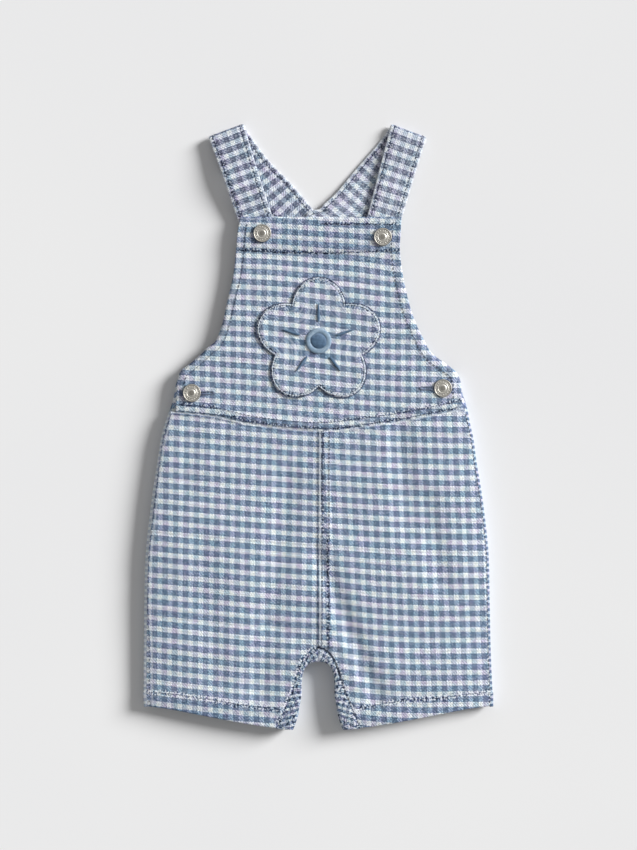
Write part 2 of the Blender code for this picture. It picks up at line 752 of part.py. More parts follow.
def main():
    for obj in list(bpy.data.objects):
        bpy.data.objects.remove(obj)

    gingham = (0.33, 0.41, 0.50)
    make_front_leg("front_leg_left", -1, material("front leg left cotton", gingham, 0.9))
    make_front_leg("front_leg_right", 1, material("front leg right cotton", gingham, 0.9))
    make_back_leg("back_leg_left", -1, material("back leg left cotton", gingham, 0.9))
    make_back_leg("back_leg_right", 1, material("back leg right cotton", gingham, 0.9))
    make_back_waistband(material("waistband cotton", gingham, 0.9))
    bib = make_bib(material("bib cotton", gingham, 0.9))
    make_strap("strap_left", LEFT_FRONT, LEFT_BACK, material("left strap cotton", gingham, 0.9))
    make_strap("strap_right", RIGHT_FRONT, RIGHT_BACK, material("right strap cotton", gingham, 0.9))
    make_patch(material("patch cotton", (0.28, 0.36, 0.46), 0.9))
    make_motif(material("satin stitch thread", (0.075, 0.15, 0.255), 0.6))
    for button in BUTTONS:
        cut_buttonhole(bib, button)
        make_button(button, material(button.name + " metal", (0.45, 0.43, 0.39), 0.35, 1.0))


main()
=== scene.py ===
# %% [markdown]
# # Baby's gingham bib shorts, laid flat
#
# These short overalls are cut from yarn-dyed cotton gingham, sewn with felled seams and
# buttoned with four metal tack buttons. They lie on their back on a pale surface.

# %% Load the frame
import math
from collections import namedtuple

import bmesh
import bpy
import numpy as np
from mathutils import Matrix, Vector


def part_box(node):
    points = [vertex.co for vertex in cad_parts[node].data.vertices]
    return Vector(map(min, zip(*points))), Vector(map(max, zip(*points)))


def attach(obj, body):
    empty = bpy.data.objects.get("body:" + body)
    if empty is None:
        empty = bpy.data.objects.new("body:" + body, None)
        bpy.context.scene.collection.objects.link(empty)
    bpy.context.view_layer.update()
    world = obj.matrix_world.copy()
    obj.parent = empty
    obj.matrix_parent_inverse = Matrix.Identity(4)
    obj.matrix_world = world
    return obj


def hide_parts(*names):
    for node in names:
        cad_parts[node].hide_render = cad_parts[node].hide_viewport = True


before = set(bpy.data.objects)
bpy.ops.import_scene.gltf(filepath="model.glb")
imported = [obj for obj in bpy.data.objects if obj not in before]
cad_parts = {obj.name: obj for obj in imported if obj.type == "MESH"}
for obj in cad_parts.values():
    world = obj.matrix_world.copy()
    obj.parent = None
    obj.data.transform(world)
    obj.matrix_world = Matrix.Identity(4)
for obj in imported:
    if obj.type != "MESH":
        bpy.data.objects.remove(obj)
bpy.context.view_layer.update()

MM = 0.001
print("nodes:", len(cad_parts))

# %% [markdown]
# ## The pattern pieces
# A pattern cutter describes a garment with a few measured lines: the side edge, the waist
# seam, the hems and the arch between the legs. The same is done here, with short tables in
# millimetres, read as smooth curves. Left and right are the viewer's, +Y runs from the hems
# to the shoulders, and the table that the garment lies on is at height 0.

# %% Outline, seams and heights
SideRow = namedtuple("SideRow", "y left right")
SIDES = (
    SideRow(162.2, -60.0, 64.4),
    SideRow(150.5, -62.2, 63.8),
    SideRow(136.0, -63.4, 63.2),
    SideRow(117.0, -65.8, 65.6),
    SideRow(97.0, -70.5, 70.2),
    SideRow(81.0, -74.1, 75.4),
    SideRow(67.0, -79.0, 82.2),
    SideRow(60.8, -86.0, 85.3),
    SideRow(54.6, -92.5, 90.5),
    SideRow(48.4, -99.8, 99.2),
    SideRow(42.1, -107.0, 107.2),
    SideRow(33.5, -110.4, 110.6),
    SideRow(25.3, -111.9, 112.2),
    SideRow(17.2, -113.9, 115.0),
    SideRow(1.6, -119.3, 118.2),
    SideRow(-10.9, -122.5, 120.9),
    SideRow(-26.5, -124.8, 122.9),
    SideRow(-51.5, -128.7, 127.1),
    SideRow(-76.4, -131.8, 130.3),
    SideRow(-101.4, -134.2, 132.6),
    SideRow(-138.8, -135.2, 133.4),
    SideRow(-174.7, -135.7, 134.2),
    SideRow(-207.5, -135.7, 135.5),
    SideRow(-218.0, -135.0, 135.7),
)
HeightRow = namedtuple("HeightRow", "y edge middle")
HEIGHTS = (
    HeightRow(165.0, 8.5, 8.5),
    HeightRow(120.0, 8.3, 8.7),
    HeightRow(90.0, 7.6, 9.2),
    HeightRow(60.0, 7.2, 9.8),
    HeightRow(40.0, 7.0, 10.4),
    HeightRow(28.0, 6.8, 10.9),
    HeightRow(12.0, 6.8, 11.4),
    HeightRow(-10.0, 7.0, 12.0),
    HeightRow(-60.0, 7.0, 12.8),
    HeightRow(-130.0, 7.0, 12.8),
    HeightRow(-180.0, 7.0, 12.0),
    HeightRow(-236.0, 6.8, 11.2),
)
CurveRow = namedtuple("CurveRow", "x y")
WAIST = (CurveRow(-116.0, 11.0), CurveRow(-78.0, 7.0), CurveRow(-50.0, 0.8), CurveRow(0.0, -3.9),
         CurveRow(40.0, 0.0), CurveRow(66.0, 3.9), CurveRow(84.0, 7.3), CurveRow(116.0, 13.9))
BACK_WAIST = (CurveRow(-107.0, 10.9), CurveRow(107.0, 13.6))
HEM = (CurveRow(19.6, -235.6), CurveRow(50.0, -231.8), CurveRow(88.0, -224.9),
       CurveRow(115.0, -219.8), CurveRow(136.0, -217.2))
ArchRow = namedtuple("ArchRow", "edge_x edge_y seam_x seam_y")
ARCH = (
    ArchRow(0.0, -183.0, 0.0, -172.0),
    ArchRow(6.5, -184.5, 6.5, -174.5),
    ArchRow(10.8, -189.5, 12.0, -181.5),
    ArchRow(12.6, -198.0, 16.5, -193.0),
    ArchRow(12.8, -208.0, 20.3, -205.5),
    ArchRow(14.6, -219.5, 25.5, -218.0),
    ArchRow(17.2, -229.0, 30.0, -228.6),
    ArchRow(19.6, -235.6, 32.5, -234.8),
)
CLOTH = 1.0             # one layer of soft cotton, with its nap
TOP_ROLL = 7.0          # distance in from the edge where the front reaches full height
TOP_POWER = 3.2         # how square that roll is
UNDER_ROLL = 7.0        # distance in from the edge where the back leaves the table
ARCH_ROLL = 6.5         # the same as TOP_ROLL, round the gap between the legs
ARCH_FULLER = 3.0       # how much higher the edge is there
SIDE_SEAM_IN = 2.3      # side seam, in from the outer edge
EASE = 0.35             # how much wider than its table the right side lies
EDGE_STEP = 4.0         # spacing of the points that distances to an edge are taken from
PAST_HEM_Y = -260.0     # the free edges are drawn on to here, so that a hem has no roll
CROWN_HALF = 130.0      # half the width over which the front falls away to both sides
CROWN_DROP = 3.0        # how far it falls
CROWN_POWER = 5         # how late

# %% [markdown]
# A few helpers read those tables. Each works on whole arrays of points at once, which keeps
# panels of twenty thousand points quick.

# %% Read curves and measure distances
def unit(vectors):
    return vectors / np.linalg.norm(vectors, axis=-1, keepdims=True)


def smooth(keys, values, at):
    """Smooth curve through the given values, for one place or an array of them."""
    keys, values = np.asarray(keys, float), np.asarray(values, float)
    slopes = np.gradient(values, keys, edge_order=1)
    slopes[1:-1] = (values[2:] - values[:-2]) / (keys[2:] - keys[:-2])
    at = np.clip(at, keys[0], keys[-1])
    k = np.clip(np.searchsorted(keys, at), 1, len(keys) - 1)
    span = keys[k] - keys[k - 1]
    t = (at - keys[k - 1]) / span
    return (values[k - 1] * (1 + 2 * t) * (1 - t) ** 2 + slopes[k - 1] * span * t * (1 - t) ** 2
            + values[k] * t * t * (3 - 2 * t) + slopes[k] * span * t * t * (t - 1))


def read_curve(rows, key, column, at):
    points = sorted((getattr(row, key), getattr(row, column)) for row in rows)
    return smooth(*zip(*points), at)


def smooth_line(rows, steps):
    """Rows of numbers turned into many, on a smooth curve through them, evenly spaced."""
    rows = np.array([tuple(row) for row in rows], float)
    index = np.linspace(0, len(rows) - 1, 24 * len(rows))
    fine = np.stack([smooth(range(len(rows)), column, index) for column in rows.T], -1)
    return even(fine, steps)


def read_along(places, lengths, rows):
    """Rows of numbers, read at places along a line whose points are at the given lengths."""
    return np.stack([np.interp(places, lengths, column) for column in rows.T], -1)


def lengths_along(points):
    """Distance of each point from the first one, measured along the line."""
    return np.concatenate([[0], np.cumsum(np.linalg.norm(np.diff(points, axis=0), axis=1))])


def even(line, steps):
    """A line of points, resampled at evenly spaced distances along its first two columns."""
    line = np.asarray(line, float)
    lengths = lengths_along(line[:, :2])
    return read_along(np.linspace(0, lengths[-1], steps + 1), lengths, line)


def nearest(x, y, line):
    """Distance to a line, how far along it the nearest place is, and on which side."""
    gap, place, side = np.full(np.shape(x), 1e9), np.zeros(np.shape(x)), np.ones(np.shape(x))
    start = 0.0
    for (ax, ay), (bx, by) in zip(line, line[1:]):
        dx, dy = bx - ax, by - ay
        length = math.hypot(dx, dy)
        t = np.clip(((x - ax) * dx + (y - ay) * dy) / length ** 2, 0, 1)
        here = np.hypot(x - ax - t * dx, y - ay - t * dy)
        near = here < gap
        gap = np.where(near, here, gap)
        place = np.where(near, start + t * length, place)
        side = np.where(near, np.where(dx * (y - ay) - dy * (x - ax) < 0, -1.0, 1.0), side)
        start += length
    return gap, place, side


def waist_y(x):
    return read_curve(WAIST, "x", "y", x)


def hem_y(x):
    return read_curve(HEM, "x", "y", np.abs(x))


def back_waist_y(x):
    return read_curve(BACK_WAIST, "x", "y", x)


def side_x(side, y):
    if side < 0:
        return read_curve(SIDES, "y", "left", y)
    return read_curve(SIDES, "y", "right", y) + EASE


def side_line(side, inward=0.0, top=SIDES[0].y, bottom=SIDES[-1].y):
    ys = np.linspace(top, bottom, int((top - bottom) / EDGE_STEP) + 1)
    return np.stack([side_x(side, ys) - side * inward, ys], -1)


ARCH_STEPS = 45
ARCH_FINE = smooth_line([(r.seam_x, r.seam_y, r.edge_x, r.edge_y) for r in ARCH], ARCH_STEPS)


def arch_seam(side):
    return ARCH_FINE[:, :2] * (side, 1)


FREE_EDGES = [
    np.concatenate([line, [(line[-1][0], PAST_HEM_Y)]])
    for side in (-1, 1) for line in (side_line(side), ARCH_FINE[:, 2:] * (side, 1))]
print("outline, widest:", round(float(np.ptp(np.concatenate(FREE_EDGES)[:, 0])), 1), "mm")

# %% [markdown]
# ## How the cloth lies
# The front isn't flat: it rolls over the hidden seam allowances at its edges, is crowned over
# the hips, and has soft folds where the legs were turned and pressed. Each fold is one row
# below, a trough or a ridge along a given line. The first ten are the main
# ones, and the shorter ones after them are the small dents of a garment that has been washed.

# %% Folds
Fold = namedtuple("Fold", "x0 y0 x1 y1 width depth")
FOLDS = (
    Fold(-109.0, -3.0, -114.0, -62.0, 6.0, 0.1),
    Fold(-98.0, -1.5, -102.0, -48.0, 8.0, -0.5),
    Fold(-24.0, -42.0, -45.0, -208.0, 11.0, -1.3),
    Fold(-91.0, -89.0, -79.0, -198.0, 10.0, -0.8),
    Fold(0.0, -99.0, 44.0, -208.0, 7.5, -1.7),
    Fold(14.0, -158.0, 34.0, -208.0, 5.0, 0.3),
    Fold(62.0, -3.0, 71.0, -80.0, 10.0, -1.4),
    Fold(84.0, -58.0, 97.0, -128.0, 9.0, -1.4),
    Fold(15.5, -65.0, 47.0, -93.0, 8.0, -0.35),
    Fold(84.0, -168.0, 122.0, -150.0, 20.0, -0.9),
)
DENTS = (
    Fold(-12.0, -166.0, -44.0, -150.0, 5.0, -0.5),
    Fold(-16.0, -178.0, -50.0, -176.0, 4.0, 0.4),
    Fold(-20.0, -194.0, -46.0, -206.0, 4.5, -0.45),
    Fold(11.0, -168.0, 30.0, -176.0, 3.0, 0.4),
    Fold(18.0, -182.0, 33.0, -191.0, 3.0, -0.5),
    Fold(24.0, -196.0, 42.0, -203.0, 3.0, 0.4),
    Fold(28.0, -211.0, 48.0, -215.0, 3.0, -0.4),
    Fold(-70.0, 2.0, -76.0, -22.0, 4.0, -0.4),
    Fold(-38.0, -4.0, -36.0, -30.0, 4.0, -0.3),
    Fold(28.0, -6.0, 33.0, -34.0, 4.5, -0.35),
    Fold(54.0, 0.0, 52.0, -20.0, 3.5, 0.3),
    Fold(-126.0, -118.0, -96.0, -128.0, 7.0, -0.5),
    Fold(-60.0, -120.0, -38.0, -112.0, 9.0, 0.35),
    Fold(70.0, -118.0, 96.0, -132.0, 9.0, 0.4),
    Fold(-58.0, 112.0, -50.0, 92.0, 5.0, -0.2),
    Fold(58.0, 112.0, 53.0, 88.0, 5.0, -0.4),
    Fold(-96.0, 38.0, -74.0, 46.0, 6.0, -0.3),
    Fold(96.0, 40.0, 72.0, 50.0, 6.0, -0.5),
    Fold(-60.0, 26.0, -40.0, 16.0, 7.0, -0.2),
    Fold(62.0, 22.0, 44.0, 14.0, 7.0, -0.3),
    Fold(-28.0, 126.0, 22.0, 128.0, 6.0, -0.3),
)


def roll(share, power=2.0):
    """Quarter of an ellipse, or with more power a squarer one: 0 at the edge, 1 past the roll."""
    return (1.0 - (1.0 - np.clip(share, 0.0, 1.0)) ** power) ** (1.0 / power)


def folded(x, y, folds):
    """Sum of soft troughs and ridges at a place."""
    lines = [((f.x0, f.y0), (f.x1, f.y1)) for f in folds]
    return sum(f.depth * np.exp(-(nearest(x, y, line)[0] / f.width) ** 2)
               for f, line in zip(folds, lines))


def edge_height(x, y):
    """Height of the garment's outer edge, which stands fuller round the gap."""
    inner = np.clip((60.0 - np.abs(x)) / 30.0, 0, 1) * np.clip((-150.0 - y) / 20.0, 0, 1)
    return read_curve(HEIGHTS, "y", "edge", y) + ARCH_FULLER * inner


def front_height(x, y):
    """Height of the front's outer face, before sewing draws it in."""
    edge = edge_height(x, y)
    middle = read_curve(HEIGHTS, "y", "middle", y)
    to_sides, to_arch = (np.minimum.reduce([nearest(x, y, line)[0] for line in lines])
                         for lines in (FREE_EDGES[0::2], FREE_EDGES[1::2]))
    near = np.minimum(to_sides / TOP_ROLL, to_arch / ARCH_ROLL)
    slope = CROWN_DROP * (np.abs(x) / CROWN_HALF) ** CROWN_POWER
    return edge + (middle - edge + folded(x, y, FOLDS + DENTS) - slope) * roll(near, TOP_POWER)


print("hip height:", round(float(front_height(40.0, -60.0)), 1), "mm")

# %% [markdown]
# ## What sewing does to cloth
# A seam pulls the cloth down into a groove. After washing, the thread has shrunk more than
# the cloth, so the cloth beside it stands up in short ripples. Their crests are painted pale,
# partly as rubbed wear and partly as painted highlight, and the troughs and the groove are
# painted dark as painted shade, with a painted highlight on the ridge beside the groove. Each
# seam below is a line with its groove, its ripples, how far they reach and how much darker or
# paler the cloth beside it is painted: soil, and painted highlights and painted shade. Hems and
# felled seams are several layers thick, which raises them.

# %% Lines that the seams follow
GROOVE_HALF = 0.55      # half the width of the groove under a row of stitches
BIB_STITCH_Y = 157.2    # a short row above the bib's hem, on the right


def across_line(x0, x1, height, steps=60):
    """Line across the garment at a height that depends on x."""
    xs = np.linspace(x0, x1, steps)
    return np.stack([xs, height(xs)], -1)


# Stitch rows of the hems: x and distance above the hem. Of the bib: x and y.
HEM_ROW = ((-135.0, 10.5), (-77.0, 13.5), (-28.0, 14.0), (28.0, 15.0), (62.0, 16.0),
           (105.0, 11.5), (135.0, 10.5))
BIB_ROW = ((-64.0, 137.3), (0.0, 134.9), (64.0, 136.7))


def hem_row_y(x):
    return hem_y(x) + smooth(*zip(*HEM_ROW), x)


def bib_row_y(x):
    return smooth(*zip(*BIB_ROW), x)


FELL_ROWS = (3.4, 8.8)                  # stitch rows of the centre-front fell, right of the seam
WAIST_ROWS = (1.9, 6.6)                 # stitch rows of the waist fell, above the seam
# Stitch row of the left side: y and distance in from the edge.
SIDE_ROW = ((-218.0, 5.0), (-168.0, 4.7), (-142.0, 3.0), (-60.0, 3.0), (-28.0, 2.0), (12.0, 2.6))
SIDE_ROW_RIGHT, BIB_ROW_IN = 2.2, 5.9   # rows of the right leg and the bib, in from the edge
centre_line = np.array([(0.0, y) for y in np.linspace(-3.9, -172.0, 30)])


def above_waist(x0, x1, up):
    return across_line(x0, x1, lambda x: waist_y(x) + up)


def side_row(side, further=0.0):
    """Stitch row beside the side seam, which runs away from the left edge as it goes down."""
    ys = np.linspace(10.0, SIDES[-1].y, 60)
    inward = further + (smooth(*zip(*SIDE_ROW), ys) if side < 0 else SIDE_ROW_RIGHT)
    return np.stack([side_x(side, ys) - side * inward, ys], -1)


def even_row(x0, x1, y):
    return across_line(x0, x1, lambda x: y + 0 * x)

# %% Seams
# The last column is how much darker (above 0) or paler (below 0) the cloth beside a seam is painted:
# soil, with painted highlights and painted shade.
Seam = namedtuple("Seam", "line groove ripple period reach soil")
FLAP_CREASE = np.linspace((-112.0, 13.6), (-78.0, 17.9), 20)
upper_centre, lower_centre = centre_line[:15], centre_line[14:]
SEAMS = [
    Seam(above_waist(-113.5, 114.5, 0.0), 0.0, 0.03, 5.4, 0.7, -0.9),
    Seam(above_waist(-113.0, -58.0, -1.5), 0.2, 0.02, 5.0, 0.5, 0.9),
    Seam(above_waist(-58.0, 2.0, -1.6), 0.1, 0.03, 5.0, 0.5, 0.2),
    Seam(above_waist(2.0, 40.0, -2.2), 0.2, 0.02, 5.0, 0.5, 0.8),
    Seam(above_waist(40.0, 113.0, -1.0), 0.2, 0.02, 5.0, 0.5, 0.8),
    Seam(above_waist(-112.0, -78.0, 1.4), 0.1, 0.12, 4.6, 0.8, 0.3),
    Seam(above_waist(-78.0, 4.0, 2.7), 0.08, 0.24, 4.1, 1.5, 1.0),
    Seam(above_waist(4.0, 40.0, 1.4), 0.08, 0.24, 4.1, 1.3, 1.0),
    Seam(above_waist(40.0, 112.0, 2.2), 0.08, 0.2, 4.6, 1.3, 0.5),
    Seam(above_waist(-20.0, 44.0, 5.0), 0.0, 0.05, 4.6, 1.2, -0.4),
    Seam(above_waist(2.0, 111.0, 7.3), 0.08, 0.22, 4.2, 1.5, 0.35),
    Seam(above_waist(-106.0, -78.0, 7.2), 0.1, 0.24, 4.2, 1.6, 0.5),
    Seam(across_line(-62.0, 24.0, bib_row_y), 0.14, 0.26, 4.2, 1.8, 0.8),
    Seam(across_line(24.0, 63.5, bib_row_y), 0.14, 0.16, 4.6, 1.6, 0.2),
    Seam(even_row(2.0, 63.0, BIB_STITCH_Y), 0.12, 0.24, 4.4, 1.4, 0.6),
    Seam(even_row(-60.0, 64.0, 161.1), 0.0, 0.02, 4.4, 0.6, -0.6),
    Seam(centre_line, 0.15, 0.03, 4.4, 0.5, 0.6),
    Seam(centre_line + (1.6, 0), 0.0, 0.05, 4.4, 0.7, -1.3),
    Seam(upper_centre + (FELL_ROWS[0], 0), 0.1, 0.3, 4.3, 1.3, 0.9),
    Seam(upper_centre + (FELL_ROWS[1], 0), 0.08, 0.1, 4.3, 0.8, 0.0),
    Seam(lower_centre + (2.9, 0), 0.08, 0.2, 4.3, 0.7, 0.4),
    Seam(lower_centre + (8.0, 0), 0.1, 0.28, 4.3, 1.7, 0.75),
    Seam(FLAP_CREASE, 0.2, 0.05, 4.0, 0.8, 0.3),
    Seam(side_line(-1, 1.0, top=68.0, bottom=44.0), 0.1, 0.05, 4.6, 0.8, 0.6),
    Seam(side_line(-1, 2.6, top=158.0, bottom=62.0), 0.0, 0.04, 4.9, 1.6, -0.35),
    Seam(side_row(-1), 0.1, 0.12, 4.6, 0.6, 0.45),
    Seam(side_row(-1, 1.7), 0.0, 0.05, 4.6, 0.8, -0.7),
    Seam(side_row(1), 0.06, 0.1, 4.6, 0.6, 0.1),
    Seam(arch_seam(1)[:20], 0.45, 0.2, 5.0, 1.5, 0.5),
]
for side in (-1, 1):
    SEAMS += [
        Seam(arch_seam(side), 0.3, 0.3, 4.6, 2.6, 0.15),
        Seam(across_line(side * 30.0, side * 134.0, hem_row_y), 0.12, 0.22, 5.3, 2.6, 0.05),
        Seam(side_line(side, BIB_ROW_IN, top=160.0, bottom=70.0), 0.12, 0.08, 4.9, 1.0, 0.2),
    ]
print("seams:", len(SEAMS))

# %% Ripples and laps
RAISED = 0.5            # height of one more layer of cloth
LAP_SOFT = 0.45         # how softly the face steps up to it
FELL_WIDTH = 9.6        # of the centre-front fell
WAIST_FELL = 7.0        # of the waist fell


def ripples(place, period, shift=0.0):
    """Uneven ripples along a seam, from -1 to 1."""
    turn = place / period + 0.4 * np.sin(place / 17.0 + shift)
    turn = turn + 0.22 * np.sin(place / 6.1 + 2 * shift)
    swell = 0.62 + 0.38 * np.sin(place / 27.0 + 1.7 * shift)
    return 0.8 * swell * np.sin(2 * math.pi * turn) + 0.2 * np.sin(2 * math.pi * turn * 2.37 + 1.0)


def lapped(x, y):
    """Extra height where the cloth is turned up or felled."""
    def step(inside):
        return RAISED * (0.5 + 0.5 * np.tanh(inside / LAP_SOFT))
    hem = step(hem_row_y(x) - y)
    bib_hem = step(y - bib_row_y(x))
    above = y - waist_y(x)
    waist = np.where(above > 0, step(WAIST_FELL - above), 0)
    on_fell = (above < 0) & (y > ARCH[0].seam_y)
    centre = np.where(on_fell, np.minimum(step(x), step(FELL_WIDTH - x)), 0)
    return hem + bib_hem + waist + centre

# %% Relief, marks and wear of the seams
LEG_WASH, BIB_WASH = 0.14, 0.18         # how marked the cloth is away from its seams
LAP_WASH, LAP_DARK = 0.05, 0.16         # how much more marked and darker a lap is
FULL_RIPPLE, CREST_WEAR_AND_PAINTED_LIGHT = 0.3, 0.9      # a ripple of this height has crests this pale and troughs this dark: rubbed wear, painted highlight and painted shade
# painted shade in the groove under a row of stitches
GROOVE_PAINTED_SHADE = 2.2
RIDGE_PAINTED_HIGHLIGHT, RIDGE_AT, RIDGE_HALF = 1.6, 1.3, 0.45       # painted highlight on the ridge beside a groove
FULL_MARKS = 0.2                        # ripple height from which a seam is fully marked
MARK_SHIFT = 61.0                       # so that no two seams have the same marks


def sewn(x, y, washed=0.0):
    """Relief, marks (along, across, strength) and tone shift that the seams leave at a place: wear and
    soil, with painted highlights and painted shade.
    """
    relief = lapped(x, y)
    doubled = relief / RAISED
    marks, worn = np.stack([x, y, washed + LAP_WASH * doubled], -1), -LAP_DARK * doubled
    for k, seam in enumerate(SEAMS):
        gap, place, side = nearest(x, y, seam.line)
        wave = ripples(place, seam.period, k + 0.25 * side)
        near = np.exp(-(gap / seam.reach) ** 2)
        groove = np.exp(-(gap / GROOVE_HALF) ** 2)
        ridge = np.exp(-((gap - RIDGE_AT) / RIDGE_HALF) ** 2)
        relief += seam.ripple * wave * near - seam.groove * groove
        # crests painted pale and troughs dark, the groove dark and the ridge beside it pale: rubbed
        # wear, painted highlights and painted shade
        worn += CREST_WEAR_AND_PAINTED_LIGHT * seam.ripple / FULL_RIPPLE * wave * near
        worn += seam.groove * (RIDGE_PAINTED_HIGHLIGHT * ridge - GROOVE_PAINTED_SHADE * groove) - seam.soil * near
        rumpled = near * min(1.0, seam.ripple / FULL_MARKS)
        closer = rumpled > marks[..., 2]
        marks[closer] = np.stack([place + MARK_SHIFT * k, gap * side, rumpled], -1)[closer]
    return relief, marks, worn


def front_face(x, y):
    """Height of the sewn front's outer face, seams and ripples included."""
    return front_height(x, y) + sewn(x, y)[0]


print("face at the hip:", round(float(front_face(np.array([40.0]), np.array([-60.0]))[0]), 1), "mm")

# %% [markdown]
# ## The run of the check
# Cloth on a table is never quite square: in the photo the weft bands run down to the right,
# steeper beside the fold of the right leg, and the warp leans a little. Each panel's grain is
# a small table that says how far a band has dropped, in millimetres, at a few places across.

# %% Grain of each panel
Grain = namedtuple("Grain", "stations rows lean shift_u shift_v")
WARP_REPEAT = 8.0       # millimetres of one blue and one white stripe, across
WEFT_REPEAT = 8.3       # and down
GRAINS = {
    "front_leg_left": Grain((-135, -100, -60, -22, 0), (
        (20, (-10.6, -7.9, -4.6, -1.7, 0)),
        (-135, (-11.3, -8.1, -4.6, -1.5, 0)),
        (-200, (-11.4, -7.4, -3.3, -0.9, 0))), -0.008, 0.0, 0.0),
    "front_leg_right": Grain((0, 13, 45, 76, 108, 135), (
        (20, (0, 1.0, 3.0, 4.4, 5.2, 5.3)),
        (-90, (0, 1.0, 3.2, 4.6, 5.3, 5.4)),
        (-135, (0, 1.0, 4.3, 6.2, 6.8, 6.9)),
        (-200, (0, 1.4, 5.4, 7.1, 6.9, 6.9))), 0.04, 0.0, 0.0),
    "bib": Grain((-110, -60, -30, 0, 30, 50, 66, 110), (
        (155, (-3.6, -3.2, -1.8, 0, 1.8, 2.7, 3.4, 4.5)),
        (120, (-6.0, -4.3, -2.7, 0, 2.6, 5.4, 7.2, 9.0)),
        (60, (-8.0, -5.3, -2.8, 0, 2.8, 4.3, 5.0, 6.0)),
        (15, (-9.5, -5.3, -2.7, 0, 2.3, 3.6, 4.6, 6.0))), 0.0, 4.0, 2.2),
}
STRAIGHT = Grain((-1, 1), ((-1, (0, 0)), (1, (0, 0))), 0.0, 0.0, 0.0)


def grain(x, y, table):
    """How far a place is along the weft and along the warp, in millimetres."""
    drops = [smooth(table.stations, row[1], x) for row in table.rows]
    levels = [row[0] for row in table.rows]
    drop = drops[0]
    for upper, lower, start, end in zip(drops, drops[1:], levels, levels[1:]):
        t = np.clip((start - y) / (start - end), 0, 1)
        drop = drop + (lower - upper) * t
    return np.stack([x + table.lean * y + table.shift_u, y + drop + table.shift_v], -1)


print("grain tables:", ", ".join(GRAINS))

# %% [markdown]
# ## Cutting a panel
# Every panel is a thin shell: an outer face, an inner face one cloth's thickness away and a
# rounded rim between them. The outer face is a grid of points. The grid carries three more
# things for the cloth's finish: its place in the weave (a UV map in check repeats), its place
# beside the nearest seam, and its tone shift: how much paler or darker it is painted, for wear
# and soil and as painted highlights and painted shade. Grids that share a border are welded,
# so a leg's back can roll round the side and the arch in one piece.

# %% Join grids
Panel = namedtuple("Panel", "points weave relief marks worn")
WELD = 0.01             # points closer than this are one


def panel(points, weave, washed):
    """A front panel's grid with what the seams and the wash do to it."""
    return Panel(points, weave, *sewn(points[..., 0], points[..., 1], washed=washed))


def gather(panels, flip):
    """Join panels' grids into one list of points and one of four-sided faces."""
    parts = [np.concatenate([getattr(p, field).reshape(p.points.shape[0] * p.points.shape[1], -1)
                             for p in panels]) for field in Panel._fields]
    quads, start = [], 0
    for p in panels:
        rows, columns = p.points.shape[:2]
        index = start + np.arange(rows * columns).reshape(rows, columns)
        corners = (index[:-1, :-1], index[1:, :-1], index[1:, 1:], index[:-1, 1:])
        quads.append(np.stack(corners, -1).reshape(-1, 4))
        start += rows * columns
    quads = np.concatenate(quads)
    keys = np.round(parts[0] / WELD).astype(int)
    _, first, back = np.unique(keys, axis=0, return_index=True, return_inverse=True)
    quads = back.reshape(-1)[quads]
    return [part[first] for part in parts], quads[:, ::-1] if flip else quads


def normals_of(points, quads):
    """Unit normal of each point, from the faces round it."""
    a, b, c, d = (points[quads[:, k]] for k in range(4))
    facing = np.cross(c - a, d - b)
    normals = np.zeros_like(points)
    for k in range(4):
        np.add.at(normals, quads[:, k], facing)
    return unit(normals)

# %% Thin shell
RIM_STEPS = 3           # rows of points round the rim, from the outer face to the inner one
INSIDE_DARK = 0.25      # how much darker the inner face is painted


def new_object(name, points, faces):
    """An object in the scene with a smooth mesh, from points in millimetres."""
    mesh = bpy.data.meshes.new(name)
    mesh.from_pydata(points * MM, [], faces)
    mesh.polygons.foreach_set("use_smooth", np.ones(len(faces), bool))
    obj = bpy.data.objects.new(name, mesh)
    bpy.context.scene.collection.objects.link(obj)
    return obj


def add_attribute(mesh, name, kind, values):
    field = "vector" if kind == "FLOAT_VECTOR" else "value"
    mesh.attributes.new(name, kind, "POINT").data.foreach_set(field, values.ravel())


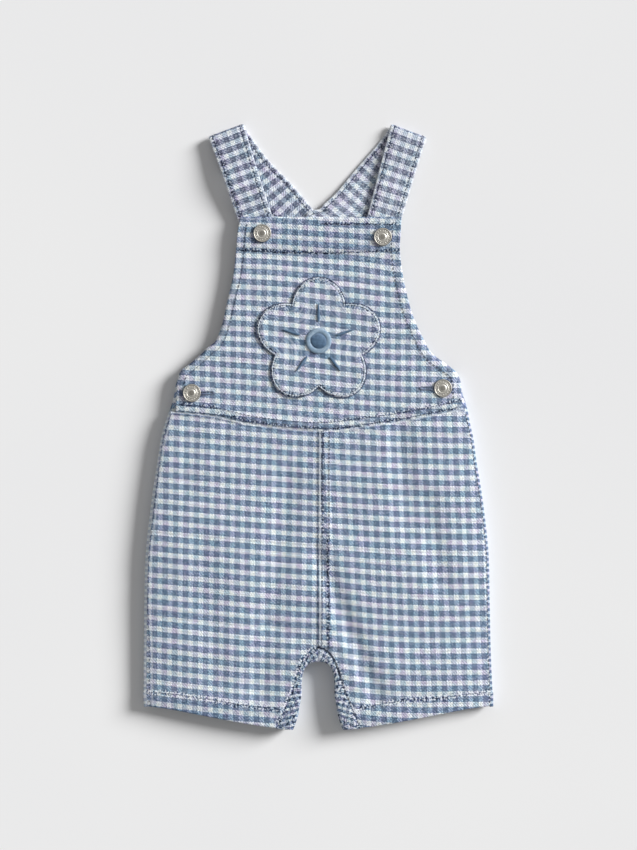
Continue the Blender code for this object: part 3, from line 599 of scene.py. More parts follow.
def shell(name, panels, thickness=CLOTH, flip=False, bulge=0.45, both_faces=False):
    """Close grids into a thin shell with a rounded rim, with relief outside or on both faces."""
    (points, weave, relief, marks, worn), quads = gather(panels, flip)
    count = len(points)
    normals = normals_of(points, quads)
    outer = points + normals * relief
    inner = points - normals * (thickness + relief * both_faces)
    edges = np.concatenate([quads[:, (k, (k + 1) % 4)] for k in range(4)])
    edges = edges[edges[:, 0] != edges[:, 1]]
    codes = edges[:, 0] * count + edges[:, 1]
    rim = edges[~np.isin(codes, edges[:, 1] * count + edges[:, 0])]
    outward = np.zeros_like(points)
    direction = np.cross(points[rim[:, 1]] - points[rim[:, 0]], normals[rim[:, 0]])
    for k in (0, 1):
        np.add.at(outward, rim[:, k], direction)
    border = np.unique(rim)
    outward = unit(outward[border])
    slot_of = np.zeros(count, int)
    slot_of[border] = np.arange(len(border))
    layers = [outer, inner]
    for k in range(1, RIM_STEPS + 1):
        turn = math.pi * k / (RIM_STEPS + 1)
        middle = (outer[border] + inner[border]) / 2
        reach = (outer[border] - inner[border]) / 2
        layers.append(middle + reach * math.cos(turn) + outward * thickness * bulge * math.sin(turn))
    source = np.concatenate([np.arange(count)] * 2 + [border] * RIM_STEPS)
    faces = quads.tolist() + (quads[:, ::-1] + count).tolist()
    rings = [rim[:, k] for k in (0, 1)]
    bands = [rings] + [[2 * count + step * len(border) + slot_of[r] for r in rings]
                       for step in range(RIM_STEPS)] + [[r + count for r in rings]]
    for upper, lower in zip(bands, bands[1:]):
        faces += np.stack([upper[1], upper[0], lower[0], lower[1]], -1).tolist()
    faces = [[v for k, v in enumerate(f) if v != f[k - 1]] for f in faces]
    obj = new_object(name, np.concatenate(layers), faces)
    corners = np.empty(len(obj.data.loops), int)
    obj.data.loops.foreach_get("vertex_index", corners)
    repeats = weave[source] / (WARP_REPEAT, WEFT_REPEAT)
    obj.data.uv_layers.new(name="weave").data.foreach_set("uv", repeats[corners].ravel())
    add_attribute(obj.data, "marks", "FLOAT_VECTOR", marks[source])
    shell_tone = worn[source]
    if not both_faces:
        shell_tone[count:] -= INSIDE_DARK
    # the tone shift: wear and soil, with painted highlights and painted shade
    add_attribute(obj.data, "worn", "FLOAT", shell_tone)
    area = sum(p.area for p in obj.data.polygons) / 2
    print(f"{name}: {len(faces)} faces, {area:.4f} square metres a side")
    return obj

# %% Plan of a panel
def coons(top, bottom, left, right, across, down):
    """Plan grid inside four boundary lines, a row for each share down."""
    u, v = across[None, :, None], down[:, None, None]
    corners = ((1 - u) * (1 - v) * top[0] + u * (1 - v) * top[-1]
               + (1 - u) * v * bottom[0] + u * v * bottom[-1])
    rows = (1 - v) * top[None] + v * bottom[None]
    return rows + (1 - u) * left[:, None] + u * right[:, None] - corners


def edge_row(start_x, end_x, across, height):
    """Boundary line from one x to another, along a curve."""
    x = start_x + across * (end_x - start_x)
    return np.stack([x, height(x)], -1)


def shares(*stops):
    """Shares from 0 to 1, split evenly between (stop, number of steps) pairs."""
    values = [np.zeros(1)]
    for stop, steps in stops:
        values.append(np.linspace(values[-1][-1], stop, steps + 1)[1:])
    return np.concatenate(values)


def lift(plan, height):
    return np.dstack([plan, height(plan[..., 0], plan[..., 1])])

# %% [markdown]
# ## Fronts of the legs
# Each front runs from the waist seam to the hem, and from the centre-front seam and the arch
# to the side seam. The rows follow both long edges, so the grid stays even.

# %% Front legs
TORSO_STEPS = 110       # rows from the waist seam to the top of the arch
SEAM_END_X = 113.0      # where the waist seam meets the side seam
HEM_END_X = 133.0       # where the hem meets it


def centre_to_arch(start_y, arch):
    """Inner edge of a leg: down the middle, then along the arch."""
    ys = np.linspace(start_y, arch[0][1], TORSO_STEPS + 1)[:-1]
    return np.concatenate([np.stack([np.zeros(TORSO_STEPS), ys], -1), arch])


def make_front_leg(name, side):
    inner = centre_to_arch(waist_y(0.0), arch_seam(side))
    rows = np.linspace(0, 1, len(inner))
    top_y = waist_y(side * SEAM_END_X)
    ys = top_y + rows * (hem_y(HEM_END_X) - top_y)
    outer = np.stack([side_x(side, ys) - side * SIDE_SEAM_IN, ys], -1)
    across = shares((0.1, 14), (0.88, 64), (1.0, 18))
    top = edge_row(inner[0][0], outer[0][0], across, waist_y)
    bottom = edge_row(inner[-1][0], outer[-1][0], across, hem_y)
    outer[0], outer[-1], inner[-1] = top[-1], bottom[-1], bottom[0]
    plan = coons(top, bottom, inner, outer, across, rows)
    weave = grain(plan[..., 0], plan[..., 1], GRAINS[name])
    front = panel(lift(plan, front_height), weave, LEG_WASH)
    return shell(name + "_cloth", [front], flip=side < 0)


front_legs = {name: make_front_leg(name, side)
              for name, side in (("front_leg_left", -1), ("front_leg_right", 1))}

# %% [markdown]
# ## Backs of the legs
# The back lies on the table. Its cloth rolls up round the side to the side seam, and round the
# arch to the inseam, where a strip of it shows from the front, with its check on the bias. The
# underside keeps soft dents of its own, which lift it a little off the table.

# %% Sections of the back
BACK_DENTS = (
    Fold(-20.0, -30.0, -60.0, -190.0, 12.0, 0.9),
    Fold(24.0, -60.0, 66.0, -196.0, 10.0, 1.1),
    Fold(-96.0, -20.0, -84.0, -120.0, 9.0, 0.7),
    Fold(92.0, -30.0, 104.0, -140.0, 8.0, 0.8),
    Fold(-8.0, -168.0, -52.0, -182.0, 6.0, 0.6),
    Fold(8.0, -170.0, 46.0, -186.0, 6.0, 0.6),
    Fold(-112.0, -205.0, -50.0, -212.0, 7.0, 0.5),
    Fold(60.0, -8.0, 30.0, -24.0, 6.0, 0.5),
)
BACK_SEAM_END_X = 107.0         # where the back's waist seam meets the side seam
BACK_HEM_END_X = 136.0          # where its hem meets it
# Distances in from the outer edge of the rows above it, and of those that roll under it.
UPPER_IN = (SIDE_SEAM_IN, 1.8, 1.35, 0.95, 0.6, 0.34, 0.15, 0.04)
UNDER_IN = (0.0, 0.04, 0.15, 0.36, 0.7, 1.2, 2.0, 3.3, 5.0, UNDER_ROLL)
# The same round the arch, as shares of the way from its edge to its seam.
ARCH_SHARES = (0.01, 0.03, 0.07, 0.13, 0.2, 0.3, 0.42, 0.54, 0.66, 0.78, 0.9, 1.0)
ARCH_REACH = np.linalg.norm(ARCH_FINE[:, :2] - ARCH_FINE[:, 2:], axis=1)


def under_height(inward, edge):
    """Height of the back's outer face, from the table up to the outer edge."""
    return edge * (1.0 - roll(inward / UNDER_ROLL))


def arch_point(side, inward):
    """Points a distance in from the gap's edge, one for each station of the arch."""
    seam, edge = ARCH_FINE[:, :2], ARCH_FINE[:, 2:]
    place = edge + (seam - edge) * (inward / ARCH_REACH)[:, None]
    place[:, 0] = np.maximum(place[:, 0], 0.0)
    return place * (side, 1)


def lengths_across(points):
    """Distance from each row's first point, measured over the surface."""
    steps = np.linalg.norm(np.diff(points, axis=1), axis=-1)
    return np.concatenate([np.zeros((len(points), 1)), np.cumsum(steps, axis=1)], axis=1)


def lay_under(side):
    """Grid of the back where it lies on the table."""
    inner = centre_to_arch(back_waist_y(0.0), arch_point(side, UNDER_ROLL))
    rows = np.linspace(0, 1, len(inner))
    top_y = back_waist_y(side * BACK_SEAM_END_X)
    ys = top_y + rows * (hem_y(BACK_HEM_END_X) - top_y)
    outer = np.stack([side_x(side, ys) - side * UNDER_ROLL, ys], -1)
    across = np.linspace(0, 1, 41)
    top = edge_row(outer[0][0], inner[0][0], across, back_waist_y)
    bottom = edge_row(outer[-1][0], inner[-1][0], across, hem_y)
    inner[0], inner[-1] = top[-1], bottom[-1]
    outer[0], outer[-1] = top[0], bottom[0]
    plan = coons(top, bottom, outer, inner, across, rows)
    ease = np.sin(math.pi * across)[None, :] ** 0.5
    return np.dstack([plan, folded(plan[..., 0], plan[..., 1], BACK_DENTS) * ease])


def roll_side(side, flat):
    """Grid from the side seam round the outer edge to the table."""
    ys = flat[:, 0, 1]
    edge = read_curve(HEIGHTS, "y", "edge", ys)
    sections = []
    for inward in UPPER_IN:
        x = side_x(side, ys) - side * inward
        sections.append(np.column_stack([x, ys, front_height(x, ys)]))
    for inward in UNDER_IN:
        x = side_x(side, ys) - side * inward
        sections.append(np.column_stack([x, ys, under_height(inward, edge)]))
    rolled = np.stack(sections, 1)
    rolled[:, -1] = flat[:, 0]
    return rolled


def roll_arch(side, flat):
    """Grid from the table round the edge of the gap to the inseam."""
    edge = edge_height(0.0, ARCH_FINE[:, 3])
    sections = []
    for inward in UNDER_IN[::-1]:
        sections.append(np.column_stack([arch_point(side, inward), under_height(inward, edge)]))
    for share in ARCH_SHARES:
        place = arch_point(side, share * ARCH_REACH)
        sections.append(np.column_stack([place, front_height(place[:, 0], place[:, 1])]))
    band = np.stack(sections, 1)
    band[:, 0] = flat[TORSO_STEPS:, -1]
    return band

# %% Back legs
BIAS = math.radians(24)
ARCH_SCALE = 1.7                # its check shows smaller, because the strip is puckered
SIDE_SCALE, SIDE_SHIFT = 1.9, 125.0     # the same for the side, and where its check starts
SIDE_PAINTED_LIGHT = {-1: -0.8, 1: 0.15}         # painted light and shade on the strip beyond each side seam: paler on the left, which faces away from the lamp, darker on the right, which faces it
ARCH_PAINTED_SHADE = {-1: 0.65, 1: 0.3}          # and painted shade on the strip round the arch, in the gap between the legs
ARCH_MARKS = 0.6                # how marked that strip is at least


def show_upper(points):
    """How much of the seams' marks a place has: none on the table, all up at the seam."""
    return np.clip(points[..., 2] / 4.0 - 0.4, 0, 1)


def side_panel(side, points):
    relief, marks, worn = sewn(points[..., 0], points[..., 1])
    upper = show_upper(points)
    weave = grain(points[..., 0], points[..., 1], STRAIGHT)
    weave[..., 0] = side * (SIDE_SHIFT - lengths_across(points))
    weave *= np.where(upper > 0, SIDE_SCALE, 1.0)[..., None]
    marks[..., 2] *= upper
    # the strip beyond the side seam is painted paler on the left and darker on the right: painted
    # light and painted shade
    return Panel(points, weave, relief * upper, marks, (worn - SIDE_PAINTED_LIGHT[side]) * upper)


def arch_panel(side, points):
    relief, marks, worn = sewn(points[..., 0], points[..., 1])
    upper = show_upper(points)
    u = side * lengths_across(points)
    v = lengths_across(points[:, -1:].swapaxes(0, 1)).T
    weave = ARCH_SCALE * np.stack([u * math.cos(BIAS) + side * v * math.sin(BIAS),
                                   v * math.cos(BIAS) - side * u * math.sin(BIAS)], -1)
    marks[..., 2] = np.maximum(marks[..., 2], ARCH_MARKS) * upper
    # the strip round the arch is painted darker: painted shade in the gap between the legs
    return Panel(points, weave, relief * upper, marks, (worn - ARCH_PAINTED_SHADE[side]) * upper)


def plain_panel(points, weave):
    """A grid that is neither marked nor worn."""
    nothing = np.zeros(points.shape[:2])
    return Panel(points, weave, nothing, np.zeros(points.shape), nothing)


def make_back_leg(name, side):
    flat = lay_under(side)
    under = plain_panel(flat, grain(flat[..., 0], flat[..., 1], STRAIGHT))
    panels = [under, side_panel(side, roll_side(side, flat)), arch_panel(side, roll_arch(side, flat))]
    return shell(name + "_cloth", panels, flip=side < 0)


back_legs = {name: make_back_leg(name, side)
             for name, side in (("back_leg_left", -1), ("back_leg_right", 1))}

# %% [markdown]
# ## Bib
# The bib is one panel with a flap on each side that reaches down past the armhole and buttons
# over the waistband. Its lower edge is felled into the waist seam.

# %% Bib
BIB_CLOTH = 1.2         # a little thicker than the legs
FLAP_TOP_Y = 38.0       # below this the bib's side is the end of the flap
FLAP_LEFT_X, FLAP_RIGHT_X = -109.3, 110.9


def beside(line, distance):
    """A line moved sideways, to its left as it runs."""
    along = np.gradient(np.asarray(line, float), axis=0)
    return line + distance * unit(np.stack([-along[:, 1], along[:, 0]], -1))


def bib_side(side):
    """Side edge of the bib: down the armhole and down the end of the flap."""
    edge_x = FLAP_LEFT_X if side < 0 else FLAP_RIGHT_X
    column = "left" if side < 0 else "right"
    rows = [(getattr(row, column), row.y) for row in SIDES if row.y > FLAP_TOP_Y]
    rows += [(edge_x, FLAP_TOP_Y - 4.0), (edge_x + side * 0.4, 24.0),
             (edge_x + side * 1.0, waist_y(edge_x))]
    return smooth_line(rows, 150)


def make_bib():
    left, right = bib_side(-1), bib_side(1)
    rows = np.linspace(0, 1, len(left))
    across = shares((0.03, 6), (0.97, 128), (1.0, 6))
    top = edge_row(left[0][0], right[0][0], across, lambda x: left[0][1] + 0 * x)
    bottom = edge_row(left[-1][0], right[-1][0], across, waist_y)
    plan = coons(top, bottom, left, right, across, rows)
    weave = grain(plan[..., 0], plan[..., 1], GRAINS["bib"])
    return shell("bib_cloth", [panel(lift(plan, front_height), weave, BIB_WASH)],
                 thickness=BIB_CLOTH)


bib = make_bib()

# %% [markdown]
# ## Back waistband
# A plain band across the small of the back. Its ends come round to the front under the flaps,
# where the side buttons are set in it.

# %% Waistband
BAND_TOP_Y = 39.0       # its upper edge
BAND_REACH_X = 76.0     # how near to the middle its ends reach under the flaps
BAND_EDGE_Z = 5.8       # height of its fold at the side
BAND_ROLL = 5.0         # distance in from there where it reaches its full height
UNDER_FLAP = 2.3        # its face, below the flap's
BAND_SEAM = 0.3         # gap that its seam leaves to the backs of the legs
# Distances in from its fold, of the rows nearest to it.
BAND_IN = (7.0, 5.6, 4.2, 3.0, 2.0, 1.2, 0.6, 0.2)


def band_height(x, y, inward):
    """Top of the waistband where it lies under a flap, or shows beside it."""
    under_flap = front_height(x, y) - UNDER_FLAP
    return BAND_EDGE_Z + (under_flap - BAND_EDGE_Z) * roll(inward / BAND_ROLL)


def band_half(side, y):
    """The band in section on one side: under the flap, round the edge, to the table."""
    edge_x = side_x(side, y)
    points = []
    for inward in (*np.linspace(abs(edge_x) - BAND_REACH_X, 8.5, 14), *BAND_IN):
        x = edge_x - side * inward
        points.append((x, y, band_height(x, y, inward)))
    for inward in UNDER_IN:
        points.append((edge_x - side * inward, y, under_height(inward, BAND_EDGE_Z)))
    return np.array(points, float)


def make_waistband():
    grid = []
    for v in np.linspace(0, 1, 21):
        halves = []
        for side in (-1, 1):
            low = back_waist_y(side * 115.0) + BAND_SEAM
            halves.append(band_half(side, BAND_TOP_Y + v * (low - BAND_TOP_Y)))
        left, right = halves
        u = np.linspace(0, 1, 61)[1:-1]
        x = left[-1][0] + u * (right[-1][0] - left[-1][0])
        y = (1 - v) * BAND_TOP_Y + v * (back_waist_y(x) + BAND_SEAM)
        dents = 0.5 * np.exp(-(((x - 30) / 14) ** 2)) + 0.4 * np.exp(-(((x + 44) / 11) ** 2))
        grid.append(np.concatenate([left, np.stack([x, y, dents], -1), right[::-1]]))
    points = np.array(grid)
    weave = np.stack([lengths_across(points) - 150.0, points[..., 1] + 3.0], -1)
    return shell("back_waistband_cloth", [plain_panel(points, weave)], flip=True)


waistband = make_waistband()

# %% [markdown]
# ## Shoulder straps
# Each strap is a doubled ribbon, topstitched along both edges. It starts under the bib at its
# button, runs up to the shoulder, folds over on itself and goes down behind to the waistband.
# The tables give its middle line, half its width as a vector, and the height of its outer face:
# the upper one in front, the one on the table behind.

# %% Strap tables
StrapRow = namedtuple("StrapRow", "x y half_x half_y z")
LEFT_FRONT = (
    StrapRow(-39.6, 135.0, 12.0, 4.2, 6.6),
    StrapRow(-49.6, 163.5, 12.0, 4.2, 6.6),
    StrapRow(-61.0, 198.0, 12.2, 4.4, 9.3),
    StrapRow(-70.9, 227.8, 13.1, 4.9, 7.0),
)
LEFT_BACK = (
    StrapRow(-70.0, 226.6, 13.1, 4.9, 0.0),
    StrapRow(-52.7, 202.0, 12.0, 7.0, 0.0),
    StrapRow(-32.5, 179.4, 11.4, 9.0, 0.0),
    StrapRow(-15.6, 161.9, 9.5, 8.8, 0.0),
    StrapRow(24.6, 112.7, 9.8, 8.1, 0.0),
    StrapRow(54.0, 77.0, 9.8, 8.1, 0.0),
    StrapRow(70.0, 57.6, 9.8, 8.1, 2.1),
    StrapRow(94.0, 28.4, 9.8, 8.1, 2.1),
)
RIGHT_FRONT = (
    StrapRow(43.6, 133.0, 12.2, -3.5, 6.6),
    StrapRow(51.7, 162.2, 12.2, -3.5, 6.6),
    StrapRow(61.0, 196.0, 12.6, -4.1, 5.6),
    StrapRow(70.1, 227.8, 13.1, -4.9, 5.0),
)
RIGHT_BACK = (
    StrapRow(69.0, 226.4, 13.1, -4.9, 0.0),
    StrapRow(55.8, 210.4, 10.2, -7.6, 0.0),
    StrapRow(40.8, 191.6, 10.6, -8.9, 0.0),
    StrapRow(27.0, 173.1, 11.6, -9.4, 1.4),
    StrapRow(17.2, 164.0, 11.7, -9.0, 2.5),
    StrapRow(12.7, 159.7, 11.2, -9.1, 2.5),
    StrapRow(7.1, 156.0, 11.4, -11.5, 2.5),
    StrapRow(2.7, 152.3, 11.3, -12.3, 2.5),
    StrapRow(-2.2, 146.1, 10.3, -8.8, 2.5),
    StrapRow(-14.6, 128.7, 10.1, -7.7, 2.5),
    StrapRow(-24.0, 116.5, 10.1, -7.7, 1.0),
    StrapRow(-34.0, 103.5, 10.1, -7.7, 0.0),
    StrapRow(-53.0, 78.8, 10.1, -7.7, 0.0),
    StrapRow(-68.5, 58.6, 10.1, -7.7, 2.1),
    StrapRow(-91.7, 28.4, 10.1, -7.7, 2.1),
)

# %% Strap path and grid
STRAP_STEP = 1.4        # distance between rows of the strap's mesh
FOLD_STEPS = 16         # rows round the fold at the shoulder
FOLD_REACH = 3.85       # how far the fold stands past the last rows


def strap_path(front, back):
    """Rows of the strap's outer face, with the rounded fold at the shoulder."""
    rows = []
    for table in (front, back):
        line = np.array([tuple(row) for row in table], float)
        length = np.hypot(*np.diff(line[:, :2], axis=0).T).sum()
        rows.append(smooth_line(table, int(length / STRAP_STEP)))
    last, first = rows[0][-1], rows[1][0]
    radius, reach = last[4] / 2, math.hypot(last[2], last[3])
    turn = []
    for k in range(1, FOLD_STEPS):
        angle = math.pi * k / FOLD_STEPS
        row = last + (first - last) * k / FOLD_STEPS
        push = FOLD_REACH * math.sin(angle) / reach
        turn.append((row[0] - last[3] * push, row[1] + last[2] * push, row[2], row[3],
                     radius + radius * math.cos(angle)))
    return np.concatenate([rows[0], turn, rows[1]])


def strap_points(path, across):
    """Grid over the strap: a row for each row of the path, a column for each share across."""
    x = path[:, 0, None] + path[:, 2, None] * across
    y = path[:, 1, None] + path[:, 3, None] * across
    return np.dstack([x, y, np.repeat(path[:, 4, None], len(across), 1)])

# %% Straps
STRAP_CLOTH = 2.0       # two layers
STRAP_ROW_IN = 2.6      # topstitch, in from the strap's edge
STRAP_RIPPLE = 4.9      # length of one ripple beside it
STRAP_STRIPE = 4.1      # where the check starts across
STRAP_ACROSS = np.array((-1, -0.985, -0.95, -0.9, *np.linspace(-0.84, 0.84, 15),
                         0.9, 0.95, 0.985, 1))


def strap_relief(along, out_from_middle, half, shift):
    """Ripples beside the two stitch rows, a groove under them and a soft dome between."""
    inward = half - np.abs(out_from_middle)
    gap = np.abs(inward - STRAP_ROW_IN)
    wave = ripples(along, STRAP_RIPPLE, shift + 0.8 * np.sign(out_from_middle))
    near = 0.6 * np.exp(-(gap / 2.0) ** 2)
    groove = np.exp(-(gap / GROOVE_HALF) ** 2)
    slow = 0.18 * np.sin(along / 9.0 + shift) * np.sin(along / 23.0 + out_from_middle / 9.0)
    relief = 0.2 * wave * near - 0.3 * groove + slow - 0.25 * np.exp(-(inward / 0.8) ** 2)
    # Its tone: crests painted pale and troughs dark, darker beside the rows and in the grooves, and a
    # pale line along the folded edges: painted highlights and painted shade.
    worn = 0.4 * wave * near - 0.3 * near - 0.35 * groove + 0.7 * np.exp(-(inward / 0.6) ** 2)
    return relief, worn, near


def make_strap(name, front, back, shift, faded):
    path = strap_path(front, back)
    points = strap_points(path, STRAP_ACROSS)
    middle = points[:, len(STRAP_ACROSS) // 2]
    along = lengths_along(middle)[:, None] + 0 * STRAP_ACROSS
    half = np.hypot(path[:, 2], path[:, 3])[:, None] * np.ones(len(STRAP_ACROSS))
    out = half * STRAP_ACROSS
    relief, worn, near = strap_relief(along, out, half, shift)
    marks = np.dstack([along + 90 * shift, out, np.maximum(near, BIB_WASH)])
    strap = Panel(points, np.dstack([out + STRAP_STRIPE, along]), relief, marks, worn + faded)
    cloth = shell(name + "_cloth", [strap], thickness=STRAP_CLOTH, flip=True, bulge=0.3,
                  both_faces=True)
    return cloth, path


strap_left, left_path = make_strap("strap_left", LEFT_FRONT, LEFT_BACK, 1.0, 0.0)
strap_right, right_path = make_strap("strap_right", RIGHT_FRONT, RIGHT_BACK, 2.0, 0.18)

# %% [markdown]
# ## Flower patch
# A plain flower with five round petals is sewn on the bib, cut from the same cloth. Its edge
# is turned under, so the patch is puffed and falls to the bib all round its outline.

# %% Patch
PATCH_X, PATCH_Y = 0.4, 66.0
PETALS = 5
PETAL_VALLEY = 36.0     # from the flower's middle to the notch between two petals
PETAL_REACH = 14.0      # and how much further to a petal's tip
PATCH_CLOTH = 0.8
PATCH_LIFT = 1.4        # outer face of the patch above the bib's
PATCH_SINK = 0.15       # how deep its stitched edge is drawn into the bib
PATCH_EDGE = 2.2        # distance in from the edge where it reaches its full height
PATCH_ROW_IN = 1.9      # its stitches, in from the edge
PATCH_SHIFT = (2.6, 3.1)        # its check doesn't quite meet the bib's
PATCH_TURN = 0.03
PATCH_SECTORS, PATCH_RINGS = 200, 44


def petal_radius(angle):
    return PETAL_VALLEY + PETAL_REACH * np.abs(np.cos(PETALS * (angle - math.pi / 2) / 2))


def patch_rim(angle, inward):
    reach = petal_radius(angle) - inward
    return PATCH_X + reach * np.cos(angle), PATCH_Y + reach * np.sin(angle)


def patch_puff(x, y):
    """Height of the patch above the bib, its tone shift (pale crests, as rubbed wear and painted
    highlight, and painted shade in the troughs and at the row of stitches), and where its edge is.
    """
    angle = np.linspace(0, 2 * math.pi, 241)
    gap, place, _ = nearest(x, y, np.stack(patch_rim(angle, 0.0), -1))
    puff = PATCH_LIFT * roll(gap / PATCH_EDGE) + 0.35 * np.exp(-((gap - 4.5) / 2.2) ** 2)
    row = np.exp(-((gap - PATCH_ROW_IN) / 0.5) ** 2)
    wave = ripples(place, 5.3, 0.7)
    near = np.exp(-(gap / 4.0) ** 2)
    height = puff - 0.25 * row + 0.16 * wave * near - PATCH_SINK
    # the tone paints the ripple crests pale and the troughs and the row of stitches dark: rubbed wear,
    # painted highlight and painted shade
    return height, 0.45 * wave * near - 0.3 * row, place, gap, near


def make_patch():
    angle = np.linspace(0, 2 * math.pi, PATCH_SECTORS + 1)
    share = np.concatenate([np.linspace(0, 0.86, PATCH_RINGS - 14)[:-1], np.linspace(0.86, 1, 15)])
    share[0] = 0.004
    reach = petal_radius(angle)[None, :] * share[:, None]
    x, y = PATCH_X + reach * np.cos(angle), PATCH_Y + reach * np.sin(angle)
    height, worn, place, gap, near = patch_puff(x, y)
    points = np.dstack([x, y, front_face(x, y) + height])
    weave = grain(x, y, GRAINS["bib"]) + PATCH_SHIFT
    weave[..., 1] += PATCH_TURN * x
    marks = np.dstack([place, gap, np.maximum(near, BIB_WASH)])
    flower = Panel(points, weave, 0 * x, marks, worn)
    return shell("bib_patch_cloth", [flower], thickness=PATCH_CLOTH, bulge=0.2)


patch = make_patch()

# %% [markdown]
# ## Topstitching
# Every seam is topstitched in dark thread. One stitch is a short length of thread that comes
# out of the cloth, lies on it and dives in again: a spindle of six sides, set by its middle,
# its direction and the cloth's own normal. All the stitches of a panel are joined in one mesh.

# %% Stitch builder
Stitches = namedtuple("Stitches", "middle along normal half radius rise")
Station = namedtuple("Station", "place width height")
STATIONS = (Station(-1.0, 0.0, -0.9), Station(-0.86, 0.7, 0.1), Station(-0.4, 1.0, 0.9),
            Station(0.4, 1.0, 0.9), Station(0.86, 0.7, 0.1), Station(1.0, 0.0, -0.9))
THREAD_SIDES = 6
THREAD_RADIUS = 0.24
STITCH_PITCH, STITCH_LENGTH = 3.2, 2.3
STITCH_RISE = 0.25      # how far a stitch stands off the cloth in its middle
SLOPE_STEP = 0.25       # distance over which the cloth's slope under it is measured
stitch_count = 0


def on_face(plan, direction, height, half, radius=THREAD_RADIUS, rise=STITCH_RISE):
    """Stitches laid on a face that is given by its height function."""
    x, y = plan.T
    slope = [(height(x + dx, y + dy) - height(x - dx, y - dy)) / (2 * SLOPE_STEP)
             for dx, dy in ((SLOPE_STEP, 0.0), (0.0, SLOPE_STEP))]
    normal = unit(np.stack([-slope[0], -slope[1], np.ones(len(x))], -1))
    along = np.column_stack([direction, np.zeros(len(x))])
    along = unit(along - normal * np.sum(along * normal, axis=1, keepdims=True))
    ones = np.ones(len(x))
    return Stitches(np.column_stack([plan, height(x, y)]), along, normal, half * ones,
                    radius * ones, rise * ones)


def row_of(line, height, pitch=STITCH_PITCH, length=STITCH_LENGTH, **look):
    """A row of stitches along a line in plan."""
    line = np.asarray(line, float)
    lengths = lengths_along(line)
    places = np.arange(pitch / 2, lengths[-1], pitch)
    ahead, behind = (read_along(places + step, lengths, line) for step in (0.4, -0.4))
    middle = read_along(places, lengths, line)
    return on_face(middle, unit(ahead - behind), height, length / 2, **look)

# %% Join the stitches
def thread_mesh(name, rows, stations=STATIONS):
    """Join rows of stitches into one mesh."""
    global stitch_count
    middle, along, normal, half, radius, rise = (
        np.concatenate([getattr(row, field) for row in rows]) for field in Stitches._fields)
    side = np.cross(along, normal)
    turns = np.arange(THREAD_SIDES) * 2 * math.pi / THREAD_SIDES
    rings = []
    for place, width, height in stations:
        centre = middle + along * (half * place)[:, None] + normal * (radius + rise * height)[:, None]
        if width == 0:
            rings.append(centre[:, None])
            continue
        spoke = side[:, None] * np.cos(turns)[:, None] + normal[:, None] * np.sin(turns)[:, None]
        rings.append(centre[:, None] + spoke * (radius * width)[:, None, None])
    points = np.concatenate(rings, axis=1)
    size = points.shape[1]
    ring = np.arange(THREAD_SIDES)
    after = (ring + 1) % THREAD_SIDES
    faces = [(0, 1 + b, 1 + a) for a, b in zip(ring, after)]
    for k in range(len(stations) - 3):
        start = 1 + k * THREAD_SIDES
        faces += [(start + a, start + b, start + THREAD_SIDES + b, start + THREAD_SIDES + a)
                  for a, b in zip(ring, after)]
    start = size - 1 - THREAD_SIDES
    faces += [(start + a, start + b, size - 1) for a, b in zip(ring, after)]
    faces = [tuple(int(k * size + v) for v in face) for k in range(len(middle)) for face in faces]
    stitch_count += len(middle)
    return new_object(name, points.reshape(-1, 3), faces)

# %% Rows of topstitching
topstitch = {}
for name, side in (("front_leg_left", -1), ("front_leg_right", 1)):
    lines = [across_line(side * 29.0, side * 131.0, hem_row_y), side_row(side)]
    if side > 0:
        lines += [beside(arch_seam(side), side * 1.3)[:34]]
        lines += [centre_line + (x, 0) for x in (0.0, *FELL_ROWS)]
    topstitch[name] = thread_mesh(name + "_topstitch", [row_of(line, front_face) for line in lines])
lines = [across_line(-109.0, 110.0, lambda x, up=up: waist_y(x) + up) for up in WAIST_ROWS]
lines += [across_line(-60.0, 61.0, bib_row_y), even_row(2.0, 60.5, BIB_STITCH_Y)]
lines += [beside(bib_side(side), -side * BIB_ROW_IN)[3:-6] for side in (-1, 1)]
topstitch["bib"] = thread_mesh("bib_topstitch", [row_of(line, front_face) for line in lines])
print("stitches so far:", stitch_count)

# %% Stitches on the straps
STRAP_STITCH = 2.5      # length of a stitch
FOLD_SLOPE = 0.3        # inside the fold, where the strap is steeper than this, none show


def strap_row(path, share, shift, face):
    """Stitches along a strap, on its outer face (1) or its inner one (-1)."""
    middle = path[:, (0, 1, 4)]
    half_vector = np.column_stack([path[:, 2:4], np.zeros(len(path))])
    half = np.linalg.norm(half_vector, axis=1)
    normal = unit(np.cross(unit(half_vector), np.gradient(middle, axis=0)))
    line = middle + half_vector * (share * (1 - STRAP_ROW_IN / half))[:, None]
    lengths = lengths_along(line)
    relief = strap_relief(lengths, share * (half - STRAP_ROW_IN), half, shift)[0]
    line = line + normal * (relief if face > 0 else -STRAP_CLOTH - relief)[:, None]
    places = np.arange(2.0, lengths[-1], STITCH_PITCH)
    if face < 0:
        fold = np.interp(places, lengths, np.abs(np.gradient(path[:, 4]))) > FOLD_SLOPE
        places = places[~fold]
    ahead, behind = (read_along(places + step, lengths, line) for step in (0.5, -0.5))
    normal = unit(read_along(places, lengths, normal)) * face
    ones = np.ones(len(places))
    return Stitches(read_along(places, lengths, line), unit(ahead - behind), normal,
                    STRAP_STITCH / 2 * ones, THREAD_RADIUS * ones, STITCH_RISE * ones)


for name, path, shift in (("strap_left", left_path, 1.0), ("strap_right", right_path, 2.0)):
    rows = [strap_row(path, share, shift, face) for share in (-1, 1) for face in (1, -1)]
    topstitch[name] = thread_mesh(name + "_topstitch", rows)
print("stitches in all so far:", stitch_count)

# %% [markdown]
# ## Buttonholes
# A buttonhole is worked over its cut edges with close stitches, and its ends are barred. The
# side ones show beside their buttons. The bib's are hidden by the caps.

